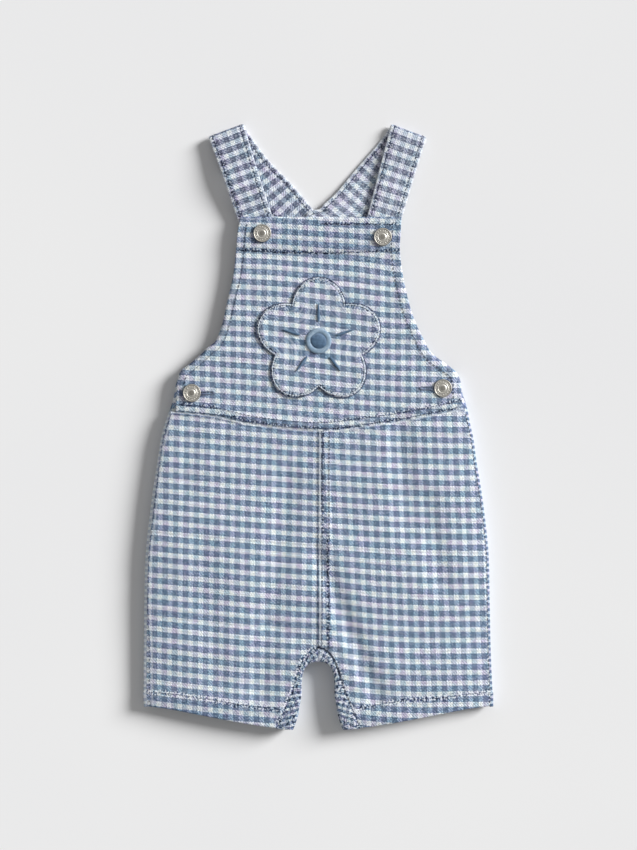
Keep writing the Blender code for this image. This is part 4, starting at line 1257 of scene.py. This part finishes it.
# %% Buttonholes
Button = namedtuple("Button", "name x y hole_dx hole_dy")
BUTTONS = (
    Button("button_bib_left", -43.3, 149.8, 0.0, -3.0),
    Button("button_bib_right", 50.3, 147.0, 0.0, -3.0),
    Button("button_side_left", -98.0, 25.7, 17.0, 0.0),
    Button("button_side_right", 97.0, 29.4, -17.0, 0.0),
)
HOLE_START = 1.5        # the slit starts this far behind the button's middle
HOLE_PITCH = 0.66       # from one stitch to the next
HOLE_STITCH = 1.6       # length of a stitch across a lip
HOLE_LIP = 1.0          # middle of a lip, from the slit
GIMP = {"radius": 0.27, "rise": 0.15}


def work_buttonhole(button):
    """Two lips of close stitches on both sides of the slit, with a bar at its far end."""
    length = math.hypot(button.hole_dx, button.hole_dy)
    ahead = np.array((button.hole_dx, button.hole_dy)) / length
    across = np.array((-ahead[1], ahead[0]))
    middle = np.array((button.x, button.y))
    start, end = middle - HOLE_START * ahead, middle + length * ahead
    steps = int(np.linalg.norm(end - start) / HOLE_PITCH)
    spine = np.linspace(start, end, steps)
    uneven = 0.22 * np.sin(np.arange(steps) * 2.3) + 0.16 * np.sin(np.arange(steps) * 5.1)
    rows = []
    for side in (-1, 1):
        plan = spine + across * side * HOLE_LIP + ahead * uneven[:, None] * 0.5
        turned = np.repeat([across + 0.12 * side * ahead], steps, axis=0)
        taper = 1 - 0.45 * np.linspace(0, 1, steps) ** 2 + uneven
        rows.append(on_face(plan, turned, front_face, HOLE_STITCH / 2 * taper, **GIMP))
    bar = end + ahead * np.linspace(-0.3, 0.6, 3)[:, None]
    rows.append(on_face(bar, np.repeat([across], len(bar), axis=0), front_face, 1.0, **GIMP))
    return thread_mesh(button.name.replace("button", "buttonhole"), rows)


buttonholes = [work_buttonhole(button) for button in BUTTONS]
print("buttonholes:", len(buttonholes))

# %% [markdown]
# ## Embroidery on the flower
# The patch is held by a dark and a pale row of close stitches along its edge. Its middle is a
# disc in satin stitch, long threads side by side that rise over a padding, in a ring of paler
# stitches. A short bar of satin stitch runs into each petal.

# %% Embroidery
DISC_RADIUS, DISC_RISE = 6.4, 1.1       # the disc and how far its padding lifts it
RING_RADIUS, RING_RISE = 10.0, 0.6      # outside of the ring round it
VEIN_START, VEIN_END = 15.5, 29.0       # a petal's bar, from the flower's middle
VEIN_WIDTH, VEIN_RISE = 2.6, 0.45
SATIN_PITCH, SATIN_RADIUS = 0.5, 0.34   # from thread to thread, and half a thread's width
SATIN_TURN = math.radians(64)           # direction of the threads of the disc
EDGE_RISE = 0.15                        # of the stitches along the patch's edge
SATIN_STATIONS = (Station(-1.0, 0.0, -0.3), Station(-0.95, 0.8, 0.2), Station(-0.7, 1.0, 0.66),
                  Station(-0.3, 1.0, 0.95), Station(0.3, 1.0, 0.95), Station(0.7, 1.0, 0.66),
                  Station(0.95, 0.8, 0.2), Station(1.0, 0.0, -0.3))


def patch_face(x, y):
    return front_face(x, y) + patch_puff(x, y)[0]


def patch_edge_row(inward, pitch, length, radius):
    angle = np.linspace(0, 2 * math.pi, 481)
    line = np.stack(patch_rim(angle, inward), -1)
    return row_of(line, patch_face, pitch=pitch, length=length, radius=radius, rise=EDGE_RISE)


def satin(out_from_middle, direction, half, rise):
    """Satin stitches on the patch, side by side, each as long as the shape is wide there."""
    place = (PATCH_X, PATCH_Y) + out_from_middle
    laid = on_face(place, direction + 0 * place, patch_face, 1.0, radius=SATIN_RADIUS)
    return laid._replace(half=half, rise=rise + 0 * half)


def satin_disc():
    offsets = np.arange(-DISC_RADIUS + SATIN_PITCH / 2, DISC_RADIUS, SATIN_PITCH)
    thread = np.array((math.cos(SATIN_TURN), math.sin(SATIN_TURN)))
    side = np.array((-thread[1], thread[0]))
    half = np.sqrt(DISC_RADIUS ** 2 - offsets ** 2) + 0.12 * np.sin(offsets * 9.0)
    return satin(offsets[:, None] * side, thread, half, DISC_RISE * np.sqrt(half / DISC_RADIUS))


def satin_ring():
    """Stitches that stand out round the disc like spokes."""
    count = int(2 * math.pi * RING_RADIUS / (SATIN_PITCH * 1.15))
    angle = np.arange(count) * 2 * math.pi / count
    out = np.stack([np.cos(angle), np.sin(angle)], -1)
    half = (RING_RADIUS - DISC_RADIUS) / 2 + 0.25 + 0.12 * np.sin(angle * 37)
    return satin(out * (RING_RADIUS - half)[:, None], out, half, RING_RISE)


def satin_vein(petal):
    """A bar that swells from its start and narrows to its end, of slanting stitches."""
    angle = math.pi / 2 + petal * 2 * math.pi / PETALS
    out = np.array((math.cos(angle), math.sin(angle)))
    reach = np.arange(VEIN_START, VEIN_END, SATIN_PITCH)
    share = (reach - VEIN_START) / (VEIN_END - VEIN_START)
    narrowing = np.sqrt(np.clip(1 - share ** 2, 0.04, 1))
    half = VEIN_WIDTH / 2 * narrowing * (0.55 + 0.45 * np.minimum(share * 6, 1))
    slant = unit(np.array((-out[1], out[0])) + 0.35 * out)
    return satin(reach[:, None] * out, slant, half, VEIN_RISE)


patch_stitches = [
    thread_mesh("patch_edge_dark", [patch_edge_row(inward=0.35, pitch=1.9, length=2.0, radius=0.32)]),
    thread_mesh("patch_edge_pale", [patch_edge_row(inward=1.75, pitch=2.3, length=2.1, radius=0.3)])]
embroidery = thread_mesh("patch_centre_satin", [satin_disc()], SATIN_STATIONS)
ring = thread_mesh("patch_ring_satin", [satin_ring()], SATIN_STATIONS)
bars = [satin_vein(petal) for petal in range(PETALS)]
veins = thread_mesh("petal_veins_satin", bars, SATIN_STATIONS)
print("stitches in all:", stitch_count)

# %% [markdown]
# ## Tack buttons
# A tack button is a stamped cap on a short shank. The cap starts as a cylinder. Its top face is
# inset again and again, and each new face is raised or lowered a little, which cuts the rim,
# the channel, the bead and the boss as the stamping die does. A ring of small dots is added in
# the channel, and a Bevel modifier softens the edges.

# %% Tack buttons
CAP_RADIUS, CAP_SKIRT, SHANK_RADIUS = 7.0, 1.3, 1.6
CapStep = namedtuple("CapStep", "inset rise")
CAP_STEPS = (
    CapStep(0.30, 0.28),
    CapStep(0.50, 0.05),
    CapStep(0.22, -0.42),
    CapStep(1.70, 0.12),
    CapStep(0.18, 0.30),
    CapStep(0.30, 0.02),
    CapStep(0.18, -0.34),
    CapStep(0.80, 0.08),
    CapStep(0.30, 0.34),
    CapStep(0.70, 0.12),
)
DOTS, DOT_RADIUS, DOT_RING = 16, 0.48, 5.05
CAP_BELOW = 2.5         # foot of the cap's skirt, below the top of the solid
BOSS_RADIUS, RIM_RADIUS = 2.3, 6.3      # inside the boss the plating is darker for its figure; outside the rim it is darkened as a painted shadow round the cap's edge


def add_cap(x, y, z):
    """The cap, stamped step by step from a cylinder."""
    bpy.ops.object.select_all(action="DESELECT")
    bpy.ops.mesh.primitive_cylinder_add(vertices=64, radius=CAP_RADIUS * MM, depth=CAP_SKIRT * MM,
                                        location=(x * MM, y * MM, (z + CAP_SKIRT / 2) * MM))
    cap = bpy.context.object
    bpy.ops.object.mode_set(mode="EDIT")
    bpy.ops.mesh.select_mode(type="FACE")
    bpy.ops.mesh.select_all(action="DESELECT")
    edit = bmesh.from_edit_mesh(cap.data)
    max(edit.faces, key=lambda face: face.calc_center_median().z).select_set(True)
    bmesh.update_edit_mesh(cap.data)
    for step in CAP_STEPS:
        bpy.ops.mesh.inset(thickness=step.inset * MM, depth=step.rise * MM)
    bpy.ops.object.mode_set(mode="OBJECT")
    bevel = cap.modifiers.new("soft edges", "BEVEL")
    bevel.width, bevel.segments, bevel.limit_method = 0.09 * MM, 2, "ANGLE"
    bevel.angle_limit = math.radians(25)
    bpy.ops.object.modifier_apply(modifier=bevel.name)
    return cap


def add_dots(x, y, z):
    """Ring of dots: one is modelled, flattened and copied round."""
    dots = []
    for k in range(DOTS):
        turn = 2 * math.pi * k / DOTS
        bpy.ops.object.select_all(action="DESELECT")
        if not dots:
            bpy.ops.mesh.primitive_uv_sphere_add(segments=12, ring_count=8, radius=DOT_RADIUS * MM)
            dot = bpy.context.object
            dot.scale = (1.0, 1.0, 0.7)
            bpy.ops.object.transform_apply(location=False, rotation=False, scale=True)
        else:
            dot = dots[0].copy()
            dot.data = dots[0].data.copy()
            bpy.context.scene.collection.objects.link(dot)
        dot_x, dot_y = x + DOT_RING * math.cos(turn), y + DOT_RING * math.sin(turn)
        dot.location = (dot_x * MM, dot_y * MM, z * MM)
        dots.append(dot)
    return dots


def add_shank(x, y, foot, top):
    bpy.ops.object.select_all(action="DESELECT")
    bpy.ops.mesh.primitive_cylinder_add(vertices=24, radius=SHANK_RADIUS * MM, depth=(top - foot) * MM,
                                        location=(x * MM, y * MM, (foot + top) / 2 * MM))
    return bpy.context.object


def paint_button_patina_and_shade(cap, button, rim_z):
    """Patina in the recesses and on steep faces, the dark figure in the middle, and painted shade: the
    rim and its steep skirt are darkened as a painted shadow round the cap's edge.
    """
    *plan, heights = np.array([v.co for v in cap.data.vertices]).T / MM
    steep = 1.0 - np.abs(np.array([v.normal.z for v in cap.data.vertices]))
    reach = np.hypot(plan[0] - button.x, plan[1] - button.y)
    patina_and_shade = 0.6 * np.clip((rim_z - heights) / 0.6, 0, 1) + 0.9 * steep
    # the middle is darker for its stamped figure; the rim is darkened as a painted shadow round the
    # cap's edge
    patina_and_shade += 0.65 * (reach < BOSS_RADIUS) + 0.4 * (reach > RIM_RADIUS)
    add_attribute(cap.data, "patina_and_shade", "FLOAT", patina_and_shade)


def make_button(button):
    low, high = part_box(button.name)
    foot, base = low[2] / MM, high[2] / MM - CAP_BELOW
    cap = add_cap(button.x, button.y, base)
    parts = [cap, add_shank(button.x, button.y, foot, base + 0.4)]
    parts += add_dots(button.x, button.y, base + CAP_SKIRT + 0.02)
    bpy.ops.object.select_all(action="DESELECT")
    for part in parts:
        part.select_set(True)
    bpy.context.view_layer.objects.active = cap
    bpy.ops.object.join()
    bpy.ops.object.transform_apply(location=True, rotation=True, scale=True)
    bpy.ops.object.shade_smooth_by_angle(angle=math.radians(32))
    cap.name = button.name + "_stamped"
    paint_button_patina_and_shade(cap, button, base + CAP_SKIRT + CAP_STEPS[0].rise)
    return cap


buttons = {button.name: make_button(button) for button in BUTTONS}
print("buttons:", len(buttons), "with", len(buttons["button_bib_left"].data.polygons), "faces each")

# %% [markdown]
# ## Camera, light and floor
# The photo looks straight down. One soft lamp is low on the right and a little towards the
# top of the picture, so all shadows fall to the left, and an even pale sky fills them.

# %% Camera and light
FRAME_HEIGHT = 850      # pixels
PIXEL = 0.78            # millimetres on the garment for one pixel
LENS, SENSOR = 85.0, 36.0
OUTLINE_Z = 4.0         # height at which that scale holds
AIM = (0.39, 0.78)      # place under the camera

camera_data = bpy.data.cameras.new("overhead_camera")
camera_data.lens, camera_data.sensor_width = LENS, SENSOR
camera = bpy.data.objects.new("overhead_camera", camera_data)
camera_height = PIXEL * FRAME_HEIGHT * LENS / SENSOR + OUTLINE_Z
camera.location = (AIM[0] * MM, AIM[1] * MM, camera_height * MM)
bpy.context.scene.collection.objects.link(camera)
bpy.context.scene.camera = camera

LAMP_ELEVATION, LAMP_AZIMUTH = 23.5, 24.0       # degrees
LAMP_SPREAD, LAMP_STRENGTH = 24.0, 5.3
lamp_data = bpy.data.lights.new("low_softbox", "SUN")
lamp_data.energy, lamp_data.angle = LAMP_STRENGTH, math.radians(LAMP_SPREAD)
lamp = bpy.data.objects.new("low_softbox", lamp_data)
lamp.rotation_euler = (0.0, math.radians(90 - LAMP_ELEVATION), math.radians(LAMP_AZIMUTH))
bpy.context.scene.collection.objects.link(lamp)
bpy.context.scene.view_settings.view_transform = "Standard"
print("camera height:", round(camera_height), "mm")

# %% [markdown]
# ## Finishes
# Colours are given as they look on a screen and turned to linear light by one function. One
# more function adds a shader node with its settings and what feeds it.

# %% Colour and nodes
def linear(code):
    """Linear colour from a screen colour such as #4d6d8a."""
    parts = [int(code[k:k + 2], 16) / 255 for k in (1, 3, 5)]
    return (*[p / 12.92 if p <= 0.04045 else ((p + 0.055) / 1.055) ** 2.4 for p in parts], 1.0)


def add(tree, kind, feeds, **settings):
    """Add a node with its settings; feeds gives sockets, by name or number, a value or a link."""
    made = tree.nodes.new(kind)
    for name, value in settings.items():
        setattr(made, name, value)
    for key, value in feeds.items():
        socket = made.inputs[key] if isinstance(key, int) else next(
            s for s in made.inputs if s.name == key and s.enabled)
        if isinstance(value, bpy.types.Node):
            value = next(s for s in value.outputs if s.enabled)
        if isinstance(value, bpy.types.NodeSocket):
            tree.links.new(value, socket)
        else:
            socket.default_value = value
    return made


def ramp(node, stops):
    """Set a colour ramp's stops from (place, colour code) pairs."""
    elements = node.color_ramp.elements
    while len(elements) < len(stops):
        elements.new(0.5)
    for element, (place, code) in zip(elements, stops):
        element.position, element.color = place, linear(code)
    return node


def shading(name, roughness, metallic=0.0, sheen=0.0):
    mat = bpy.data.materials.new(name)
    mat.use_nodes = True
    shader = mat.node_tree.nodes["Principled BSDF"]
    shader.inputs["Roughness"].default_value = roughness
    shader.inputs["Metallic"].default_value = metallic
    shader.inputs["Sheen Weight"].default_value = sheen
    return mat, mat.node_tree, shader


def feed(tree, source, shader, name):
    """Link a node's output to one of the shader's inputs."""
    tree.links.new(next(s for s in source.outputs if s.enabled), shader.inputs[name])

# %% [markdown]
# ### Yarn-dyed cotton gingham
# The yarns are dyed before weaving: half of the warp and half of the weft is blue. The shader
# weaves it: it counts the threads, finds which one is on top and takes that yarn's colour. A
# real thread is 0.4 mm, and it is drawn at 0.75 mm so that it still shows. Washing has faded
# the yarns unevenly. Beside the seams the crests are painted pale and the hollows dark: rubbed
# wear and soil, with painted highlights and painted shade.

# %% Threads of the check
THREADS = 11            # threads drawn in one check, for about 20 in the cloth
BLUE_THREADS = 6        # of them dyed blue
STRAY_SIZE, STRAY = 1.3, 0.09   # bends of the threads: so many in a check, how far in checks


def count_threads(tree, weave):
    """Place among the threads, the numbers of the two that cross there, and if warp is on top."""
    stray = add(tree, "ShaderNodeTexNoise", {"Vector": weave, "Scale": STRAY_SIZE, "Detail": 2.0},
                noise_dimensions="2D")
    stray = add(tree, "ShaderNodeVectorMath", {0: stray.outputs["Color"], 1: (0.5, 0.5, 0.5)},
                operation="SUBTRACT")
    yarn = add(tree, "ShaderNodeVectorMath", {0: stray, 1: (STRAY, STRAY, 0.0), 2: weave},
               operation="MULTIPLY_ADD")
    threads = add(tree, "ShaderNodeVectorMath", {0: yarn, 1: (THREADS, THREADS, 0.0)},
                  operation="MULTIPLY")
    number = add(tree, "ShaderNodeVectorMath", {0: threads}, operation="FLOOR")
    number = add(tree, "ShaderNodeSeparateXYZ", {0: number})
    warp, weft = number.outputs["X"], number.outputs["Y"]
    diagonal = add(tree, "ShaderNodeMath", {0: warp, 1: weft}, operation="ADD")
    diagonal = add(tree, "ShaderNodeMath", {0: diagonal, 1: 3.0}, operation="FLOORED_MODULO")
    warp_up = add(tree, "ShaderNodeMath", {0: diagonal, 1: 0.5}, operation="LESS_THAN")
    return threads, warp, weft, warp_up


def colour_threads(tree, warp, weft, warp_up, tones):
    """Give each crossing a number from 0 to 7, and the tone with that number."""
    code = warp_up
    for count, weight in ((warp, 2.0), (weft, 4.0)):
        stripe = add(tree, "ShaderNodeMath", {0: count, 1: float(THREADS)}, operation="FLOORED_MODULO")
        dyed = add(tree, "ShaderNodeMath", {0: stripe, 1: BLUE_THREADS - 0.5}, operation="LESS_THAN")
        code = add(tree, "ShaderNodeMath", {0: dyed, 1: weight, 2: code}, operation="MULTIPLY_ADD")
    place = add(tree, "ShaderNodeMath", {0: code, 1: 1 / 8, 2: 1 / 16}, operation="MULTIPLY_ADD")
    cloth = add(tree, "ShaderNodeValToRGB", {0: place})
    cloth.color_ramp.interpolation = "CONSTANT"
    return ramp(cloth, [(k / 8, tone) for k, tone in enumerate(tones)]), code

# %% Fading and slubs
SLUB = 0.16             # how much the yarns differ in colour
FADE_SIZE = 0.9         # faded places: so many in a check
SLUB_SIZE, SLUB_DEPTH = 9.0, 0.2        # thick and thin places: so many in a check, how dark
WHITE_DRIFT = ((0.3, "#f5fbf6"), (0.44, "#fdfdf6"), (0.56, "#f9fafc"), (0.7, "#fcf7f8"))
DYE_DRIFT = ((0.32, "#e2f6fb"), (0.45, "#eff9ff"), (0.55, "#f5f5ff"), (0.68, "#fbeeff"))


def vary_yarns(tree, cloth, weave, on_top, code):
    """Fade the white and the dyed yarns in drifts, and make each yarn a little uneven."""
    fade = add(tree, "ShaderNodeTexNoise", {"Vector": weave, "Scale": FADE_SIZE, "Detail": 3.0},
               noise_dimensions="2D")
    white_drift = ramp(add(tree, "ShaderNodeValToRGB", {0: fade}), WHITE_DRIFT)
    dye_drift = ramp(add(tree, "ShaderNodeValToRGB", {0: fade}), DYE_DRIFT)
    is_dyed = add(tree, "ShaderNodeMath", {0: code, 1: 1.5}, operation="GREATER_THAN")
    drift = add(tree, "ShaderNodeMix", {"Factor": is_dyed, "A": white_drift, "B": dye_drift},
                data_type="RGBA")
    each = add(tree, "ShaderNodeTexWhiteNoise", {"W": on_top}, noise_dimensions="1D")
    uneven = add(tree, "ShaderNodeMapRange", {0: each.outputs["Value"], 3: 1 - SLUB, 4: 1 + SLUB})
    slubs = add(tree, "ShaderNodeTexNoise", {"Vector": weave, "Scale": SLUB_SIZE, "Detail": 1.0},
                noise_dimensions="2D")
    slubs = add(tree, "ShaderNodeMapRange", {0: slubs, 1: 0.3, 2: 0.7, 3: 1 - SLUB_DEPTH,
                                             4: 1 + SLUB_DEPTH})
    for change in (drift, uneven, slubs):
        cloth = add(tree, "ShaderNodeVectorMath", {0: cloth, 1: change}, operation="MULTIPLY")
    return cloth

# %% Wash marks
CRUMPLE_ALONG, CRUMPLE_ACROSS = 1.3, 1.7    # size of the marks beside a seam, in millimetres
CRUMPLE_PAINTED_LIGHT = 2.5            # how strongly the marks are painted pale on their raised crumples and dark in their hollows: painted highlight and painted shade
# pale tone for rubbed wear and painted highlights, and the tint that deepens colour for soil and
# painted shade
PALE_WEAR_AND_HIGHLIGHT, DEEP_TINT = "#e6ebf1", "#a9b0c4"


def crumple_cloth(tree):
    """Marks of the wash, from -1 to 1, and how strong they are at a place."""
    marks = add(tree, "ShaderNodeAttribute", {}, attribute_name="marks").outputs["Vector"]
    size = (1 / CRUMPLE_ALONG, 1 / CRUMPLE_ACROSS, 0.0)
    crumple = add(tree, "ShaderNodeVectorMath", {0: marks, 1: size}, operation="MULTIPLY")
    crumple = add(tree, "ShaderNodeTexNoise", {"Vector": crumple, "Scale": 1.0, "Detail": 2.0},
                  noise_dimensions="2D")
    crumple = add(tree, "ShaderNodeMapRange", {0: crumple, 1: 0.3, 2: 0.7, 3: -1.0, 4: 1.0})
    return crumple, add(tree, "ShaderNodeSeparateXYZ", {0: marks}).outputs["Z"]


def paint_wear_and_light(tree, cloth, crumple, near):
    """Paler where the tone shift and the wash marks are above 0, deeper in colour where below: rubbed
    wear and soil, with painted highlights on crests and ridges and painted shade in troughs, grooves
    and hollows.
    """
    worn = add(tree, "ShaderNodeAttribute", {}, attribute_name="worn").outputs["Fac"]
    # the wash marks are painted pale where their bump rises and dark where it sinks: painted highlight
    # and painted shade
    crumple_painted_light = add(tree, "ShaderNodeMath", {0: crumple, 1: CRUMPLE_PAINTED_LIGHT}, operation="MULTIPLY")
    wear_and_painted_light = add(tree, "ShaderNodeMath", {0: crumple_painted_light, 1: near, 2: worn}, operation="MULTIPLY_ADD")
    paler = add(tree, "ShaderNodeMapRange", {0: wear_and_painted_light, 1: 0.0, 2: 1.5, 3: 0.0, 4: 0.85})
    darker = add(tree, "ShaderNodeMapRange", {0: wear_and_painted_light, 1: 0.0, 2: -1.4, 3: 0.0, 4: 1.0})
    cloth = add(tree, "ShaderNodeMix", {"Factor": paler, "A": cloth, "B": linear(PALE_WEAR_AND_HIGHLIGHT)},
                data_type="RGBA")
    deeper = add(tree, "ShaderNodeGamma", {0: cloth, 1: 2.2})
    deeper = add(tree, "ShaderNodeVectorMath", {0: deeper, 1: linear(DEEP_TINT)[:3]},
                 operation="MULTIPLY")
    return add(tree, "ShaderNodeMix", {"Factor": darker, "A": cloth, "B": deeper},
               data_type="RGBA")

# %% Gingham
THREAD_DEPTH = 0.12     # millimetres that a thread stands out
CRUMPLE_DEPTH = 2.0     # height of a wash mark, in threads


def gingham(name, tones, roughness=0.9):
    mat, tree, shader = shading(name, roughness, sheen=0.05)
    weave = add(tree, "ShaderNodeUVMap", {}, uv_map="weave")
    threads, warp, weft, warp_up = count_threads(tree, weave)
    cloth, code = colour_threads(tree, warp, weft, warp_up, tones)
    on_top = add(tree, "ShaderNodeMix", {"Factor": warp_up, "A": weft, "B": warp})
    cloth = vary_yarns(tree, cloth, weave, on_top, code)
    crumple, near = crumple_cloth(tree)
    feed(tree, paint_wear_and_light(tree, cloth, crumple, near), shader, "Base Color")
    inside = add(tree, "ShaderNodeVectorMath", {0: threads}, operation="FRACTION")
    inside = add(tree, "ShaderNodeSeparateXYZ", {0: inside})
    across = add(tree, "ShaderNodeMix", {"Factor": warp_up, "A": inside.outputs["Y"],
                                         "B": inside.outputs["X"]})
    crown = add(tree, "ShaderNodeMath", {0: across, 1: math.pi}, operation="MULTIPLY")
    crown = add(tree, "ShaderNodeMath", {0: crown}, operation="SINE")
    rise = add(tree, "ShaderNodeMath", {0: crumple, 1: near}, operation="MULTIPLY")
    rise = add(tree, "ShaderNodeMath", {0: rise, 1: CRUMPLE_DEPTH, 2: crown}, operation="MULTIPLY_ADD")
    feed(tree, add(tree, "ShaderNodeBump", {"Strength": 0.5, "Distance": THREAD_DEPTH * MM,
                                            "Height": rise}), shader, "Normal")
    return mat

# %% Tones of the two cloths
# What shows at a crossing, by which of its two yarns are blue and which is on top. Light comes
# through from the yarn below, so blue over white is paler than blue over blue. Where both yarns
# have one colour, the crossing with the warp on top is painted darker than the one with the
# weft on top: painted shade in the hollows of the twill. The order is white on white, blue warp
# on white weft, white warp on blue weft and blue on blue, each with the weft on top first and
# then the warp.
BODY_TONES = ("#f3f7fb", "#ccd2d8", "#d8dde2", "#8c94a8", "#7590ab", "#c8d2de", "#6c8098", "#506079")
STRAP_TONES = ("#eff4fc", "#c8cdd6", "#d5dae4", "#8c90a0", "#748198", "#c6cbd5", "#6c7488", "#50566c")
body_gingham = gingham("yarn-dyed cotton gingham twill", BODY_TONES)
strap_gingham = gingham("doubled gingham strap twill", STRAP_TONES)
print("materials:", body_gingham.name, "and", strap_gingham.name)

# %% [markdown]
# ### Thread and metal
# Topstitching is core-spun thread, dark navy that has washed to slate on top of each stitch.
# Embroidery is rayon floss: smoother, with a soft sheen along the thread. The buttons are
# zinc alloy with an antique pewter plating, pale where it is rubbed and dark in its recesses.

# %% Thread
WASHED_SCALE = 420.0    # washed places on a thread: so many in a metre, 2.4 mm each
TWIST_SCALE = 900.0     # its twist, about 1 mm a turn, coarser than real so that it shows


def sewing_thread(name, dark, light, roughness, sheen):
    mat, tree, shader = shading(name, roughness, sheen=sheen)
    where = add(tree, "ShaderNodeTexCoord", {}).outputs["Object"]
    worn = add(tree, "ShaderNodeTexNoise", {"Vector": where, "Scale": WASHED_SCALE, "Detail": 3.0})
    tone = ramp(add(tree, "ShaderNodeValToRGB", {0: worn}), ((0.35, dark), (0.7, light)))
    feed(tree, tone, shader, "Base Color")
    twist = add(tree, "ShaderNodeTexWave", {"Vector": where, "Scale": TWIST_SCALE, "Distortion": 2.0},
                bands_direction="DIAGONAL")
    feed(tree, add(tree, "ShaderNodeBump", {"Strength": 0.4, "Distance": 0.06 * MM,
                                            "Height": twist.outputs["Fac"]}), shader, "Normal")
    return mat


navy_thread = sewing_thread("core-spun topstitch thread", "#27324c", "#4a5877", 0.75, 0.1)
pale_thread = sewing_thread("core-spun pale thread", "#c3ced9", "#e8eef2", 0.75, 0.1)
hole_thread = sewing_thread("core-spun buttonhole gimp", "#55617c", "#8e9ab0", 0.8, 0.1)
floss = sewing_thread("rayon embroidery floss", "#46627e", "#5b7b9a", 0.45, 0.2)
pale_floss = sewing_thread("rayon embroidery floss in light blue", "#7f9ab2", "#9db3c6", 0.45, 0.2)

# %% Metal
SPOT_SCALE = 1400.0     # spots in the plating: so many in a metre, 0.7 mm each


def pewter():
    mat, tree, shader = shading("antique pewter plated zinc", 0.5, metallic=0.9)
    patina_and_shade = add(tree, "ShaderNodeAttribute", {}, attribute_name="patina_and_shade").outputs["Fac"]
    where = add(tree, "ShaderNodeTexCoord", {}).outputs["Object"]
    spots = add(tree, "ShaderNodeTexNoise", {"Vector": where, "Scale": SPOT_SCALE, "Detail": 3.0})
    stain = add(tree, "ShaderNodeMath", {0: spots, 1: 0.5, 2: -0.25}, operation="MULTIPLY_ADD")
    stain = add(tree, "ShaderNodeMath", {0: stain, 1: patina_and_shade}, operation="ADD")
    tone = ramp(add(tree, "ShaderNodeValToRGB", {0: stain}),
                ((0.1, "#e6e3db"), (0.5, "#bbb7ae"), (1.0, "#3a3833")))
    feed(tree, tone, shader, "Base Color")
    feed(tree, add(tree, "ShaderNodeBump", {"Strength": 0.3, "Distance": 0.05 * MM,
                                            "Height": spots}), shader, "Normal")
    return mat


button_metal = pewter()
print("metal:", button_metal.name)

# %% Floor and sky
FLOOR_SIZE = 60.0       # metres, so that its edge is out of sight
FLOOR_Z = -0.3          # millimetres, just clear of the cloth


def make_floor():
    bpy.ops.object.select_all(action="DESELECT")
    bpy.ops.mesh.primitive_plane_add(size=FLOOR_SIZE, location=(0.0, 0.0, FLOOR_Z * MM))
    floor = bpy.context.object
    floor.name = "paper_floor"
    bpy.ops.object.transform_apply(location=True, rotation=False, scale=False)
    mat, tree, shader = shading("matt seamless paper", 0.95)
    where = add(tree, "ShaderNodeTexCoord", {}).outputs["Object"]
    grit = add(tree, "ShaderNodeTexNoise", {"Vector": where, "Scale": 2.2, "Detail": 2.0})
    tone = ramp(add(tree, "ShaderNodeValToRGB", {0: grit}), ((0.35, "#ebebec"), (0.65, "#eeeeee")))
    feed(tree, tone, shader, "Base Color")
    floor.data.materials.append(mat)
    return floor


print("floor:", make_floor().name)
SKY_STRENGTH = 0.295
world = bpy.data.worlds.new("even_sky")
world.use_nodes = True
sky = world.node_tree.nodes["Background"]
sky.inputs["Color"].default_value = (1.0, 1.0, 1.0, 1.0)
sky.inputs["Strength"].default_value = SKY_STRENGTH
bpy.context.scene.world = world

# %% [markdown]
# ## Dress the frame
# Each cloth takes the place of its plain solid and rides on the one body. The size that each piece was
# cut to is listed, and its measured area is printed beside it.

# %% Dress the frame
def dress(obj, mat, slot, *nodes):
    obj.data.materials.append(mat)
    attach(obj, "root")
    if nodes:
        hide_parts(*nodes)


for name, leg in {**front_legs, **back_legs}.items():
    dress(leg, body_gingham, "gingham_cotton", name)
dress(bib, body_gingham, "gingham_cotton", "bib")
dress(waistband, body_gingham, "gingham_cotton", "back_waistband")
dress(patch, body_gingham, "gingham_cotton", "bib_patch")
dress(strap_left, strap_gingham, "strap_cotton", "strap_left")
dress(strap_right, strap_gingham, "strap_cotton", "strap_right")
for thread in (*topstitch.values(), patch_stitches[0]):
    dress(thread, navy_thread, "embroidery_thread")
for thread in buttonholes:
    dress(thread, hole_thread, "embroidery_thread")
dress(patch_stitches[1], pale_thread, "embroidery_thread")
dress(embroidery, floss, "embroidery_thread", "patch_centre")
dress(ring, pale_floss, "embroidery_thread")
dress(veins, floss, "embroidery_thread")
for name, button in buttons.items():
    dress(button, button_metal, "button_metal", name)

Cut = namedtuple("Cut", "piece width length area rests_on sewn_on")
CUTS = [
    Cut(front_legs["front_leg_left"], 0.150, 0.260, 0.0305, ["back_leg_left"],
        [topstitch["front_leg_left"]]),
    Cut(front_legs["front_leg_right"], 0.150, 0.260, 0.0305, ["back_leg_right"],
        [topstitch["front_leg_right"]]),
    Cut(back_legs["back_leg_left"], 0.175, 0.275, 0.0345, [], []),
    Cut(back_legs["back_leg_right"], 0.175, 0.275, 0.0345, [], []),
    Cut(bib, 0.230, 0.180, 0.0280, ["back_waistband", "strap_left", "strap_right"],
        [topstitch["bib"], *buttonholes]),
    Cut(waistband, 0.285, 0.033, 0.0088, [], []),
    Cut(patch, 0.101, 0.097, 0.0068, ["bib"], [*patch_stitches, embroidery, ring, veins]),
    Cut(strap_left, 0.0265, 0.400, 0.0106, [], [topstitch["strap_left"]]),
    Cut(strap_right, 0.0265, 0.400, 0.0106, ["strap_left"], [topstitch["strap_right"]]),
]
for cut in CUTS:
    measured = sum(polygon.area for polygon in cut.piece.data.polygons) / 2
    print(f"{cut.piece.name}: cut {cut.area:.4f}, measures {measured:.4f} square metres")
# Each strap is cut twice and the layers are sewn together, so its cloth counts twice.
print("cloth in all:", round(sum(cut.area for cut in CUTS) + CUTS[-1].area + CUTS[-2].area, 3))
